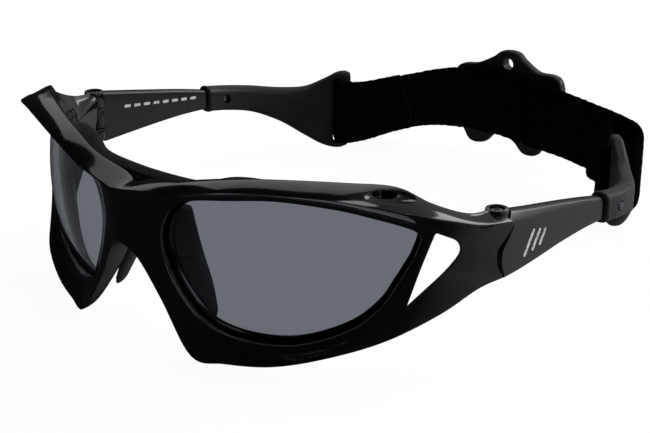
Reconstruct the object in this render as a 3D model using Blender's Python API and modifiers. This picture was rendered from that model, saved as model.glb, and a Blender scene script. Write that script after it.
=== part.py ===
"""Wraparound sport sunglasses with an adjustable head strap.

One nylon front carries two spherical lenses, a brow seal and two nose pads. An arm is
screwed to each end of it, a rubber sleeve is pinned over the end of each arm, and a pile
strap runs from sleeve to sleeve behind the head, through a rubber rear pad.

The front looks along -Y, the wearer's left is +X and the object stands on Z = 0. Shapes are
drawn in millimetres from the nose end of the rims and placed by one empty, which sets the
origin at the middle of the footprint.
"""
import math

import bmesh
import bpy
from mathutils import Matrix, Vector

MM = 0.001

# Placing: from the drawing's datum (nose end of the rims) to the middle of the footprint.
DATUM_BACK = 73.93
DATUM_UP = 0.43
# The object stands on the rims and on the ends of the sleeves: (y, z) of both feet.
FRONT_FOOT = (3.6, -0.3)
REAR_FOOT = (123.7, 3.3)

# Lenses: a spherical shell, drawn for the left eye and mirrored for the right.
LENS_CENTRE = Vector((6.3, 67.9, 24.0))
LENS_RADIUS = 66.0
LENS_THICKNESS = 2.0
LENS_INSET = 1.5
LENS_RINGS = 4
LENS_MIDDLE = (35.0, 23.0)

# The rim around each lens, as radii from the lens centre and offsets out from the opening.
LIP_FRONT_RADIUS = 66.9
LIP_CREST_RADIUS = 67.4
GROOVE_FRONT_RADIUS = 66.3
GROOVE_REAR_RADIUS = 63.6
GROOVE_DEPTH = 1.9
RIM_REAR_RADIUS = 61.8
REAR_CHAMFER = 0.6
LIP_WIDTH = 1.1
STATION_STEPS = 3

# Stations round the left rim: name, opening (x, z), front edge, rear edge.
RIM_STATIONS = [
    ("bridge_top", (11.9, 32.4), (-1.5, -4.4, 35.0), (-1.5, 4.4, 35.2)),
    ("brow_inner", (16.6, 35.3), (14.0, -1.5, 37.6), (14.0, 4.3, 39.3)),
    ("brow_middle", (25.5, 36.9), (25.0, 1.3, 40.0), (25.0, 7.7, 41.4)),
    ("brow_peak", (35.5, 38.0), (36.0, 5.5, 40.9), (36.0, 12.6, 42.4)),
    ("brow_outer", (45.5, 37.1), (46.6, 9.9, 41.4), (47.0, 18.6, 42.8)),
    ("wing", (52.3, 35.1), (54.2, 13.8, 40.9), (55.3, 24.3, 42.4)),
    ("shoulder", (56.7, 33.1), (61.8, 22.8, 38.0), (60.4, 29.6, 38.6)),
    ("end_top", (58.3, 31.5), (66.9, 37.0, 33.4), (63.6, 38.4, 34.8)),
    ("end_upper_corner", (58.4, 30.1), (69.0, 49.0, 31.0), (64.6, 49.0, 33.4)),
    ("end_middle", (58.1, 28.4), (69.2, 49.0, 25.4), (64.6, 49.0, 26.0)),
    ("end_lower_corner", (57.7, 26.6), (69.0, 49.0, 20.3), (64.6, 49.0, 20.6)),
    ("strut_rear", (56.9, 24.4), (66.3, 39.0, 18.5), (62.4, 40.6, 19.1)),
    ("strut", (55.7, 21.4), (62.0, 30.9, 13.7), (58.6, 33.4, 14.6)),
    ("rim_outer", (53.0, 15.9), (55.0, 22.0, 8.5), (51.2, 24.4, 9.6)),
    ("rim_low_outer", (47.5, 10.3), (46.6, 13.5, 5.0), (43.6, 17.6, 5.6)),
    ("rim_low", (37.6, 5.8), (36.0, 7.5, 1.6), (34.4, 12.2, 2.1)),
    ("rim_low_inner", (27.0, 5.2), (25.6, 3.2, 0.4), (24.9, 8.0, 0.7)),
    ("nose_corner", (18.8, 7.6), (18.0, 0.5, 0.8), (18.6, 5.4, 1.3)),
    ("nose_side", (13.3, 14.3), (9.6, 0.0, 12.2), (10.6, 6.8, 12.4)),
    ("nose_arch", (10.2, 21.2), (3.9, -1.7, 21.4), (4.6, 6.4, 21.4)),
    ("bridge_bottom", (9.6, 27.2), (-2.0, -3.6, 25.6), (-2.0, 5.6, 26.4)),
]
FACE_CROWN = 0.35

# Side vent: the three-cornered window behind each rim, and the air scoop above it.
VENT_CORNERS = [(60.7, 30.1, 32.1), (64.3, 33.6, 30.2), (64.9, 34.1, 27.8),
                (63.0, 31.8, 24.0), (57.4, 25.1, 15.9), (59.0, 27.5, 24.3)]
VENT_DIRECTION = Vector((0.60, -0.71, 0.37))
VENT_REACH = 9.0
SCOOP_MIDDLE = Vector((56.4, 21.0, 41.2))
SCOOP_ALONG = Vector((0.50, 0.85, -0.15))
SCOOP_NORMAL = Vector((0.52, -0.16, 0.81))
# Half sizes of each hollowing ball, its moves along and across the scoop, and its tilt.
SCOOP_DISH = ((5.9, 1.9, 1.2), 0.0, 0.0, 0.0)
SCOOP_HOLLOW = ((2.9, 0.9, 3.2), -1.0, 0.8, 28.0)

# Hinges: a knuckle on the arm turns between two lugs on the front.
HINGE_X = 65.0
HINGE_Y = 45.2
BARREL_RADIUS = 2.5
BARREL_GAP = 0.4
BARREL_TOP = 34.3
BARREL_BOTTOM = 20.9
KNUCKLE_TOP = 29.6
KNUCKLE_BOTTOM = 24.4
BORE_RADIUS = 1.0
SCREW_RADIUS = 0.7
SCREW_HEAD_RADIUS = 1.4
SCREW_HEAD_HEIGHT = 0.9
SCREW_END_GAP = 1.2
FIT_GAP = 0.3
THROUGH = 30.0
END_REACH = 12.0
END_DEPTH = 20.0
# The joint line on the outer face, from the top of the arm to the bottom: (y, z).
JOINT_LINE = [(45.4, 38.0), (45.6, 33.1), (46.6, 30.8), (45.0, 28.6), (42.9, 25.8),
              (43.0, 22.6), (44.2, 19.6), (44.6, 15.0)]

# Arms: (y, outer x, thickness, bottom z, top z, top chamfer).
ARM_STEPS = 3
ARM_EDGE = 0.6
CHAMFER_DROP = 1.2
CHAMFER_RUN = 0.7
ARM_SECTIONS = [
    (38.0, 68.2, 4.0, 19.5, 34.6, 2.2),
    (47.0, 68.5, 4.1, 19.6, 33.6, 2.0),
    (56.0, 68.3, 3.9, 20.0, 31.9, 1.6),
    (66.0, 67.8, 3.6, 20.5, 30.0, 1.3),
    (76.0, 67.4, 3.3, 20.7, 28.0, 1.0),
    (85.0, 67.0, 3.0, 20.4, 26.0, 0.8),
]
TANG_SECTIONS = [
    (84.0, 66.6, 2.2, 21.3, 25.1, 0.5),
    (90.0, 66.3, 2.0, 20.8, 24.4, 0.5),
    (97.0, 64.9, 1.8, 20.0, 23.4, 0.5),
]

# Sleeves: (centre x, y, bottom z, top z, thickness), then the strap slot near the end.
SLEEVE_SECTIONS = [
    (65.5, 85.4, 19.4, 26.8, 4.6),
    (65.0, 93.0, 18.3, 25.6, 4.8),
    (62.6, 101.5, 16.4, 24.2, 4.8),
    (58.6, 109.2, 12.6, 22.8, 4.4),
    (54.2, 115.6, 7.6, 22.6, 4.0),
    (50.6, 120.0, 4.3, 24.6, 3.6),
    (47.4, 123.4, 3.3, 26.8, 3.4),
    (45.0, 125.9, 4.6, 26.8, 3.0),
]
SLEEVE_ROUND = 0.7
SLEEVE_SIDES = 12
SLOT_CENTRE = Vector((47.9, 123.0, 15.0))
SLOT_WIDTH = 2.3
SLOT_LENGTH = 16.0
SLOT_HEIGHT = 19.8
SLOT_AZIMUTH = 133.0
STUD_CENTRE = Vector((65.6, 92.0, 22.1))
STUD_RADIUS = 1.0
STUD_LENGTH = 4.4

# Strap: pile webbing that passes through each slot and folds back on itself.
STRAP_WIDTH = 19.0
STRAP_THICKNESS = 1.5
# (x, y, z) of the strap's middle line, and its lean in degrees.
LEFT_STRAP = [
    (32.0, 136.2, 18.4, 0), (38.0, 134.0, 17.6, 0), (41.2, 130.4, 16.4, 0),
    (42.2, 125.6, 15.2, 0), (44.5, 121.1, 15.0, 0), (47.9, 123.0, 15.0, 0),
    (50.6, 126.2, 15.8, 0), (50.4, 130.0, 17.2, 0), (46.6, 134.4, 18.2, 0),
    (40.0, 137.3, 18.6, 0), (30.0, 140.2, 19.0, 0), (18.0, 142.9, 19.6, 0),
    (5.0, 144.6, 19.8, 0),
]
RIGHT_STRAP = [
    (-32.0, 136.2, 17.8, -20), (-38.0, 134.0, 15.7, -18), (-41.2, 130.4, 14.6, -12),
    (-42.2, 125.6, 14.8, -4), (-44.5, 121.1, 15.0, 0), (-47.9, 123.0, 15.0, 0),
    (-50.6, 126.2, 14.5, -4), (-50.4, 130.0, 13.4, -11), (-46.6, 134.4, 12.9, -18),
    (-40.0, 137.3, 14.6, -22), (-30.0, 140.2, 17.8, -21), (-18.0, 142.2, 20.5, -9),
    (-7.0, 144.3, 20.9, -1), (4.0, 144.7, 20.2, 0),
]
BAR_PLACE = Vector((45.9, 125.1, 15.0))
STRAP_STEPS = 3
RIBBON_EDGE = 0.5
TAPE_THICKNESS = 0.7
TAPE_WIDTH = 17.0

# Rear pad: outline (x, z) of the rubber plate behind the strap, with its finger lobes.
PAD_OUTLINE = [
    (-21.0, 27.8), (-13.9, 30.8), (-8.9, 33.4), (-5.7, 35.6), (-0.9, 35.8), (1.9, 33.8),
    (6.5, 31.4), (15.0, 29.4), (15.0, 10.4), (10.1, 9.8), (7.3, 6.6), (2.9, 6.2),
    (-0.5, 9.0), (-4.7, 10.8), (-8.1, 9.6), (-10.9, 7.0), (-15.5, 6.8), (-18.5, 10.8),
    (-21.0, 12.0),
]
PAD_STEPS = 3
PAD_THICKNESS = 3.0
PAD_MIDDLE_Y = 148.6
PAD_BEND_RADIUS = 150.0
PAD_FOLDS = 5
PAD_TAPE_Z = 19.8
LEFT_PAD_TAPE = (5.8, 14.0)
RIGHT_PAD_TAPE = (-19.5, 3.2)
LEASH_HOLE = (-3.3, 32.2)
LEASH_HOLE_RADIUS = 1.7

# Soft parts on the front.
SEAL_START = (2.2, -0.6)
# The seal's section, as (way back, way up) from the rear edge of the brow.
SEAL_PROFILE = [(0.0, 0.0), (1.0, 0.3), (2.8, -0.6), (3.2, -2.6), (2.9, -4.0), (2.0, -3.8)]
SEAL_STEPS = 4
SEAL_HALF_WIDTH = 36.0
SEAL_DROP_START = 24.0
SEAL_END_DROP = 2.4
NOSE_PAD_PATH = [(5.6, 10.0, 29.6), (6.5, 10.7, 23.6), (8.8, 10.5, 18.0), (12.4, 10.2, 11.6),
                 (15.4, 9.8, 5.6)]
NOSE_PAD_STEPS = 3
NOSE_PAD_SIDES = 10
NOSE_PAD_DEPTH = 7.0
NOSE_PAD_THICKNESS = 2.6
NOSE_PAD_FLARE = 20.0
NOSE_PAD_TAPER = 0.45

LENS_OUTLINE = [station[1] for station in RIM_STATIONS]


# ---------------------------------------------------------------- scene and materials

def clear_scene():
    for old in list(bpy.data.objects):
        bpy.data.objects.remove(old, do_unlink=True)


def new_collection(name):
    collection = bpy.data.collections.new(name)
    bpy.context.scene.collection.children.link(collection)
    return collection


clear_scene()
PARTS = new_collection("sport_sunglasses")
CUTTERS = new_collection("cutters")


def make_datum():
    """The empty that carries every piece: the drawing's datum in the object's frame."""
    empty = bpy.data.objects.new("datum", None)
    rise = REAR_FOOT[1] - FRONT_FOOT[1]
    run = REAR_FOOT[0] - FRONT_FOOT[0]
    empty.location = Vector((0.0, -DATUM_BACK, DATUM_UP)) * MM
    empty.rotation_euler = (-math.atan2(rise, run), 0, 0)
    PARTS.objects.link(empty)
    return empty


DATUM = make_datum()
PIVOT_PLACES = {DATUM: Vector((0, 0, 0))}


def make_pivot(name, place, carrier):
    """An empty on a joint's axis. It carries the pieces that turn about that axis."""
    empty = bpy.data.objects.new(name, None)
    empty.parent = carrier
    empty.location = (place - PIVOT_PLACES[carrier]) * MM
    PARTS.objects.link(empty)
    PIVOT_PLACES[empty] = place
    return empty


def make_material(name, colour, roughness, metallic=0.0):
    material = bpy.data.materials.new(name)
    material.use_nodes = True
    shader = material.node_tree.nodes["Principled BSDF"]
    shader.inputs["Base Color"].default_value = (*colour, 1.0)
    shader.inputs["Roughness"].default_value = roughness
    shader.inputs["Metallic"].default_value = metallic
    return material


# ---------------------------------------------------------------- curves and lofts

def spline_point(before, start, end, after, t):
    """Catmull-Rom blend of four points given as tuples of any length."""
    return tuple(
        0.5 * (2 * b + (c - a) * t + (2 * a - 5 * b + 4 * c - d) * t * t
               + (3 * b - a - 3 * c + d) * t ** 3)
        for a, b, c, d in zip(before, start, end, after))


def spline(points, steps, closed=False):
    """Points along a smooth curve through the given ones, with steps in each span."""
    count = len(points)
    spans = count if closed else count - 1
    result = []
    for i in range(spans):
        if closed:
            around = [points[(i + k) % count] for k in (-1, 0, 1, 2)]
        else:
            around = [points[min(max(i + k, 0), count - 1)] for k in (-1, 0, 1, 2)]
        result += [spline_point(*around, step / steps) for step in range(steps)]
    if not closed:
        result.append(tuple(points[-1]))
    return result


def add_object(name, mesh, material, collection=PARTS, pivot=DATUM):
    """Puts a mesh drawn in millimetres under a pivot, where its own origin then is."""
    mesh.transform(Matrix.Translation(-PIVOT_PLACES[pivot]))
    mesh.transform(Matrix.Scale(MM, 4))
    piece = bpy.data.objects.new(name, mesh)
    piece.parent = pivot
    collection.objects.link(piece)
    if material:
        mesh.materials.append(material)
    return piece


def mesh_from(bm, smooth=True):
    bmesh.ops.recalc_face_normals(bm, faces=bm.faces)
    mesh = bpy.data.meshes.new("shape")
    bm.to_mesh(mesh)
    bm.free()
    if smooth:
        mesh.shade_smooth()
        mesh.set_sharp_from_angle(angle=math.radians(35))
    return mesh


def loft(rings, closed=False, mirror=False):
    """A closed skin over rings of equal length, capped unless the rings close on themselves."""
    bm = bmesh.new()
    side = -1 if mirror else 1
    skins = [[bm.verts.new((side * p[0], p[1], p[2])) for p in ring] for ring in rings]
    count = len(rings[0])
    spans = len(rings) if closed else len(rings) - 1
    for i in range(spans):
        here, there = skins[i], skins[(i + 1) % len(rings)]
        for k in range(count):
            n = (k + 1) % count
            bm.faces.new((here[k], here[n], there[n], there[k]))
    if not closed:
        bm.faces.new(skins[0])
        bm.faces.new(reversed(skins[-1]))
    return mesh_from(bm)


def flip(point, side):
    """The mirror image of a point for the right side, where side is -1."""
    return Vector((side * point[0], point[1], point[2]))


def hide_cutter(cutter):
    cutter.hide_render = True
    cutter.display_type = "WIRE"
    return cutter


def cut(piece, cutter, operation="DIFFERENCE"):
    step = piece.modifiers.new(f"{operation.lower()}_{cutter.name}", "BOOLEAN")
    step.operation = operation
    step.object = cutter
    step.solver = "EXACT"


def cylinder_mesh(centre, radius, height, axis="Z", segments=12):
    """A cylinder centred on a point, along an axis of the drawing."""
    turns = {"X": Matrix.Rotation(math.pi / 2, 4, "Y"),
             "Y": Matrix.Rotation(math.pi / 2, 4, "X"),
             "Z": Matrix.Identity(4)}
    bm = bmesh.new()
    bmesh.ops.create_cone(bm, cap_ends=True, segments=segments, radius1=radius,
                          radius2=radius, depth=height)
    bmesh.ops.transform(bm, matrix=Matrix.Translation(Vector(centre)) @ turns[axis],
                        verts=bm.verts)
    return mesh_from(bm)


def cutter_cylinder(name, centre, radius, height, axis="Z", segments=12):
    mesh = cylinder_mesh(centre, radius, height, axis, segments)
    return hide_cutter(add_object(name, mesh, None, CUTTERS))


def cutter_box(name, centre, size, azimuth):
    """A box cutter turned about the upright axis."""
    bm = bmesh.new()
    bmesh.ops.create_cube(bm, size=1.0)
    bmesh.ops.scale(bm, vec=Vector(size), verts=bm.verts)
    turn = Matrix.Translation(centre) @ Matrix.Rotation(math.radians(azimuth), 4, "Z")
    bmesh.ops.transform(bm, matrix=turn, verts=bm.verts)
    return hide_cutter(add_object(name, mesh_from(bm, smooth=False), None, CUTTERS))


def prism(name, outline, direction, reach):
    """A cutter that sweeps a closed outline both ways along a direction."""
    near = [Vector(p) - direction * reach for p in outline]
    far = [Vector(p) + direction * reach for p in outline]
    return hide_cutter(add_object(name, loft([near, far]), None, CUTTERS))


# ---------------------------------------------------------------- lenses and front

def on_lens(x, z, radius=LENS_RADIUS):
    """The point of the left lens sphere seen from the front at (x, z)."""
    dx, dz = x - LENS_CENTRE.x, z - LENS_CENTRE.z
    depth = math.sqrt(radius * radius - dx * dx - dz * dz)
    return Vector((x, LENS_CENTRE.y - depth, z))


def opening_frames(steps):
    """Round the opening: the point on the lens, the lens normal and the way outward."""
    outline = [on_lens(x, z) for x, z in spline(LENS_OUTLINE, steps, closed=True)]
    frames = []
    for i, point in enumerate(outline):
        along = (outline[(i + 1) % len(outline)] - outline[i - 1]).normalized()
        normal = (point - LENS_CENTRE).normalized()
        outward = normal.cross(along)
        if outward.dot(point - on_lens(*LENS_MIDDLE)) < 0:
            outward.negate()
        frames.append((point, normal, outward.normalized()))
    return frames


def rim_point(frame, radius, offset):
    """A point at a radius from the lens centre, offset outward from the opening."""
    point, normal, outward = frame
    moved = point + outward * offset
    return LENS_CENTRE + (moved - LENS_CENTRE).normalized() * radius


def around_lens(start, end, share):
    """A point part of the way between two others, following the wrap about the lens axis."""
    places = []
    for point in (start, end):
        dx, dy = point.x - LENS_CENTRE.x, LENS_CENTRE.y - point.y
        places.append((math.atan2(dx, dy), math.hypot(dx, dy), point.z))
    angle, radius, height = (a + (b - a) * share for a, b in zip(*places))
    return Vector((LENS_CENTRE.x + radius * math.sin(angle),
                   LENS_CENTRE.y - radius * math.cos(angle), height))


def rim_rings():
    """Cross-sections round the left half of the front."""
    frames = opening_frames(STATION_STEPS)
    fronts = spline([s[2] for s in RIM_STATIONS], STATION_STEPS, closed=True)
    rears = spline([s[3] for s in RIM_STATIONS], STATION_STEPS, closed=True)
    rings = []
    for frame, front, rear in zip(frames, fronts, rears):
        front, rear = Vector(front), Vector(rear)
        crest = rim_point(frame, LIP_CREST_RADIUS, LIP_WIDTH)
        back = rim_point(frame, RIM_REAR_RADIUS, LIP_WIDTH)
        crown = frame[1] * FACE_CROWN
        edge_crown = (front + rear - 2 * frame[0]).normalized() * FACE_CROWN
        rings.append([
            rim_point(frame, LIP_FRONT_RADIUS, 0.0),
            crest,
            around_lens(crest, front, 1 / 3) + crown,
            around_lens(crest, front, 2 / 3) + crown,
            front,
            front.lerp(rear, 0.5) + edge_crown,
            rear,
            around_lens(rear, back, 0.5),
            back,
            rim_point(frame, RIM_REAR_RADIUS + REAR_CHAMFER, 0.0),
            rim_point(frame, GROOVE_REAR_RADIUS, 0.0),
            rim_point(frame, GROOVE_REAR_RADIUS, GROOVE_DEPTH),
            rim_point(frame, GROOVE_FRONT_RADIUS, GROOVE_DEPTH),
            rim_point(frame, GROOVE_FRONT_RADIUS, 0.0),
        ])
    return rings


def joint_cutter(name, side, offset, way):
    """Everything ahead (way -1) or behind (way 1) of the joint line moved back by an offset."""
    line = [(y + offset, z) for y, z in spline(JOINT_LINE, 4)][::way]
    far_y = HINGE_Y + way * END_DEPTH
    line += [(far_y, line[-1][1]), (far_y, line[0][1])]
    outline = [(side * HINGE_X, y, z) for y, z in line]
    return prism(name, outline, Vector((1, 0, 0)), END_REACH)


def scoop_cutter(name, half_sizes, forward, aside, tilt):
    """A stretched ball that hollows the air scoop in the top of the brow wing."""
    along = SCOOP_ALONG.normalized()
    across = SCOOP_NORMAL.cross(along).normalized()
    frame = Matrix((along, across, along.cross(across))).transposed().to_4x4()
    turn = frame @ Matrix.Rotation(math.radians(tilt), 4, "X")
    centre = SCOOP_MIDDLE + along * forward + across * aside
    bm = bmesh.new()
    bmesh.ops.create_uvsphere(bm, u_segments=16, v_segments=8, radius=1.0)
    bmesh.ops.scale(bm, vec=Vector(half_sizes), verts=bm.verts)
    bmesh.ops.transform(bm, matrix=Matrix.Translation(centre) @ turn, verts=bm.verts)
    return hide_cutter(add_object(name, mesh_from(bm), None, CUTTERS))


def barrel(name, side, radius, low, high):
    """A cylinder on a hinge's axis between two heights."""
    centre = (side * HINGE_X, HINGE_Y, (low + high) / 2)
    return cutter_cylinder(name, centre, radius, high - low, segments=20)


def bore(name, side):
    """The screw's bore, right through the hinge."""
    return cutter_cylinder(name, (side * HINGE_X, HINGE_Y, BARREL_BOTTOM), BORE_RADIUS,
                           2 * THROUGH)


def make_front(material):
    front = add_object("front_frame", loft(rim_rings(), closed=True), material)
    cut(front, joint_cutter("front_end_cutter", 1, 0.0, 1))
    cut(front, prism("vent_cutter", VENT_CORNERS, VENT_DIRECTION, VENT_REACH))
    cut(front, scoop_cutter("scoop_dish", *SCOOP_DISH))
    cut(front, scoop_cutter("scoop_hollow", *SCOOP_HOLLOW))
    cut(front, barrel("lower_lug", 1, BARREL_RADIUS, BARREL_BOTTOM, KNUCKLE_BOTTOM - FIT_GAP),
        "UNION")
    cut(front, barrel("upper_lug", 1, BARREL_RADIUS, KNUCKLE_TOP + FIT_GAP, BARREL_TOP),
        "UNION")
    cut(front, barrel("knuckle_room", 1, BARREL_RADIUS + BARREL_GAP,
                      KNUCKLE_BOTTOM - FIT_GAP, KNUCKLE_TOP + FIT_GAP))
    cut(front, bore("front_bore", 1))
    cut(front, barrel("head_room", 1, SCREW_HEAD_RADIUS + FIT_GAP,
                      BARREL_TOP - SCREW_HEAD_HEIGHT - 2 * FIT_GAP, BARREL_TOP + END_REACH))
    both = front.modifiers.new("both_sides", "MIRROR")
    both.use_bisect_axis[0] = True
    both.bisect_threshold = 0.000001
    both.merge_threshold = 0.00001


def make_lens(name, side, material):
    """A spherical shell whose edge stands in the rim's groove."""
    frames = opening_frames(2)
    rings = []
    for radius, order in ((LENS_RADIUS, 1), (LENS_RADIUS - LENS_THICKNESS, -1)):
        edge = [rim_point(frame, radius, LENS_INSET) for frame in frames]
        surface = []
        for level in range(1, LENS_RINGS + 1):
            share = level / LENS_RINGS
            surface.append([on_lens(LENS_MIDDLE[0] + (point.x - LENS_MIDDLE[0]) * share,
                                    LENS_MIDDLE[1] + (point.z - LENS_MIDDLE[1]) * share, radius)
                            for point in edge])
        rings += surface[::order]
    add_object(name, loft(rings, mirror=side < 0), material)


# ---------------------------------------------------------------- arms and hinges

def arm_ring(y, outer, thickness, bottom, top, chamfer):
    """Section of an arm: a rounded bar with a wide chamfer along its upper outer edge."""
    inner = outer - thickness
    edge = min(ARM_EDGE, thickness / 5)
    return [(outer, y, bottom + edge), (outer, y, top - chamfer * CHAMFER_DROP),
            (outer - chamfer * CHAMFER_RUN, y, top), (inner + edge, y, top),
            (inner, y, top - edge), (inner, y, bottom + edge),
            (inner + edge, y, bottom), (outer - edge, y, bottom)]


def arm_rings(sections):
    return [arm_ring(*values) for values in spline(sections, ARM_STEPS)]


def make_tang(name, side, grow):
    """The arm's tongue inside the sleeve, or with grow its clearance."""
    sections = [[y, outer + grow, thick + 2 * grow, low - grow, high + grow, chamfer]
                for y, outer, thick, low, high, chamfer in TANG_SECTIONS]
    sections[-1][0] += grow
    return hide_cutter(add_object(name, loft(arm_rings(sections), mirror=side < 0), None,
                                  CUTTERS))


def stud_hole(name, side):
    """A cross bore for the pin that holds the sleeve on the arm."""
    return cutter_cylinder(name, flip(STUD_CENTRE, side), STUD_RADIUS + FIT_GAP,
                           2 * END_REACH, "X")


def make_arm(name, side, material, pivot):
    arm = add_object(name, loft(arm_rings(ARM_SECTIONS), mirror=side < 0), material, pivot=pivot)
    cut(arm, joint_cutter(f"{name}_end_cutter", side, FIT_GAP, -1))
    room = BARREL_RADIUS + BARREL_GAP
    cut(arm, barrel(f"{name}_lower_room", side, room, BARREL_BOTTOM - END_REACH,
                    KNUCKLE_BOTTOM))
    cut(arm, barrel(f"{name}_upper_room", side, room, KNUCKLE_TOP, BARREL_TOP + END_REACH))
    cut(arm, barrel(f"{name}_knuckle", side, BARREL_RADIUS, KNUCKLE_BOTTOM, KNUCKLE_TOP),
        "UNION")
    cut(arm, make_tang(f"{name}_tang", side, 0.0), "UNION")
    cut(arm, bore(f"{name}_bore", side))
    cut(arm, stud_hole(f"{name}_stud_hole", side))


def make_screw(name, side, material):
    """A turned screw: head, shank and a flat point."""
    top = BARREL_TOP - FIT_GAP
    neck = top - SCREW_HEAD_HEIGHT
    point = BARREL_BOTTOM + SCREW_END_GAP
    profile = [(0.0, top), (SCREW_HEAD_RADIUS, top), (SCREW_HEAD_RADIUS, neck),
               (SCREW_RADIUS, neck), (SCREW_RADIUS, point), (0.0, point)]
    mesh = bpy.data.meshes.new(name)
    edges = [(i, i + 1) for i in range(len(profile) - 1)]
    mesh.from_pydata([(radius, 0.0, z) for radius, z in profile], edges, [])
    screw = add_object(name, mesh, material)
    screw.location = Vector((side * HINGE_X, HINGE_Y, 0)) * MM
    turned = screw.modifiers.new("turned", "SCREW")
    turned.steps = turned.render_steps = 16
    turned.use_merge_vertices = True
    turned.merge_threshold = 0.00005


# ---------------------------------------------------------------- sleeves and studs

def level_way(points, i):
    """The level direction of a path at one of its points."""
    before, after = points[max(i - 1, 0)], points[min(i + 1, len(points) - 1)]
    return Vector((after[0] - before[0], after[1] - before[1], 0)).normalized()


def sleeve_ring(x, y, bottom, top, thickness, across):
    """A pill-shaped section that stands across the sleeve's path."""
    half = thickness / 2
    middle, reach = (bottom + top) / 2, (top - bottom) / 2 - half * SLEEVE_ROUND
    ring = []
    for step in range(SLEEVE_SIDES):
        angle = 2 * math.pi * (step + 0.5) / SLEEVE_SIDES
        shift = math.copysign(reach, math.sin(angle))
        offset = across * (half * math.cos(angle))
        height = middle + shift + half * SLEEVE_ROUND * math.sin(angle)
        ring.append((x + offset.x, y + offset.y, height))
    return ring


def sleeve_rings():
    sections = spline(SLEEVE_SECTIONS, 3)
    rings = []
    for i, section in enumerate(sections):
        along = level_way(sections, i)
        rings.append(sleeve_ring(*section, Vector((along.y, -along.x, 0))))
    return rings


def make_sleeve(name, side, material, pivot):
    sleeve = add_object(name, loft(sleeve_rings(), mirror=side < 0), material, pivot=pivot)
    cut(sleeve, make_tang(f"{name}_socket", side, FIT_GAP))
    cut(sleeve, cutter_box(f"{name}_slot", flip(SLOT_CENTRE, side),
                           (SLOT_WIDTH, SLOT_LENGTH, SLOT_HEIGHT), side * SLOT_AZIMUTH))
    cut(sleeve, stud_hole(f"{name}_stud_hole", side))


def make_stud(name, side, material, pivot):
    mesh = cylinder_mesh(flip(STUD_CENTRE, side), STUD_RADIUS, STUD_LENGTH, "X", 16)
    add_object(name, mesh, material, pivot=pivot)


# ---------------------------------------------------------------- strap and rear pad

def ribbon_rings(path, width, thickness, steps, offset=0.0):
    """Sections of an upright ribbon along a path of (x, y, z, lean in degrees)."""
    points = spline(path, steps)
    half_width, half = width / 2, thickness / 2
    soft = half * RIBBON_EDGE
    corners = [(half, half_width - soft), (half - soft, half_width),
               (soft - half, half_width), (-half, half_width - soft),
               (-half, soft - half_width), (soft - half, -half_width),
               (half - soft, -half_width), (half, soft - half_width)]
    rings = []
    for i, (x, y, z, lean) in enumerate(points):
        along = level_way(points, i)
        across = Vector((along.y, -along.x, 0))
        tilt = math.radians(lean)
        up = Vector((0, math.sin(tilt), math.cos(tilt)))
        middle = Vector((x, y, z)) + across * offset
        rings.append([middle + across * a + up * b for a, b in corners])
    return rings


def make_strap(name, path, material, pivot):
    rings = ribbon_rings(path, STRAP_WIDTH, STRAP_THICKNESS, STRAP_STEPS)
    add_object(name, loft(rings), material, pivot=pivot)


def make_fold_tape(name, side, path, material, pivot):
    """Hook tape sewn on the folded end, between it and the strap's long run."""
    reach = STRAP_THICKNESS / 2 + TAPE_THICKNESS / 2 + FIT_GAP
    rings = ribbon_rings(path[:2], TAPE_WIDTH, TAPE_THICKNESS, STRAP_STEPS, -side * reach)
    add_object(name, loft(rings), material, pivot=pivot)


def pad_surface_y(x):
    """The rear pad's middle surface bends with the strap."""
    return PAD_MIDDLE_Y - PAD_BEND_RADIUS + math.sqrt(PAD_BEND_RADIUS ** 2 - x * x)


def folded_y(x, left, spacing):
    """The bend made of flat facets, which meet on the fold lines."""
    first = left + math.floor((x - left) / spacing) * spacing
    share = (x - first) / spacing
    return pad_surface_y(first) * (1 - share) + pad_surface_y(first + spacing) * share


def make_rear_pad(material, pivot):
    """A flat plate, folded along upright lines until it follows the strap's bend."""
    outline = spline(PAD_OUTLINE, PAD_STEPS, closed=True)
    plate = loft([[(x, depth, z) for x, z in outline]
                  for depth in (-PAD_THICKNESS / 2, PAD_THICKNESS / 2)])
    bm = bmesh.new()
    bm.from_mesh(plate)
    left, right = PAD_OUTLINE[0][0], PAD_OUTLINE[7][0]
    spacing = (right - left) / PAD_FOLDS
    for fold in range(1, PAD_FOLDS):
        bmesh.ops.bisect_plane(bm, geom=bm.verts[:] + bm.edges[:] + bm.faces[:],
                               plane_co=(left + spacing * fold, 0, 0), plane_no=(1, 0, 0))
    for vert in bm.verts:
        vert.co.y += folded_y(vert.co.x, left, spacing)
    pad = add_object("rear_pad", mesh_from(bm), material, pivot=pivot)
    cut(pad, cutter_cylinder("leash_hole", (LEASH_HOLE[0], PAD_MIDDLE_Y, LEASH_HOLE[1]),
                             LEASH_HOLE_RADIUS, END_REACH, "Y", 16))


def make_pad_tape(name, ends, material, pivot):
    """Hook tape bonded to the rear pad, which grips one end of the strap."""
    offset = PAD_THICKNESS / 2 + TAPE_THICKNESS / 2 + FIT_GAP
    path = []
    for step in range(4):
        x = ends[0] + (ends[1] - ends[0]) * step / 3
        path.append((x, pad_surface_y(x) - offset, PAD_TAPE_Z, 0))
    add_object(name, loft(ribbon_rings(path, TAPE_WIDTH, TAPE_THICKNESS, 1)), material,
               pivot=pivot)


# ---------------------------------------------------------------- soft parts on the front

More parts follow.
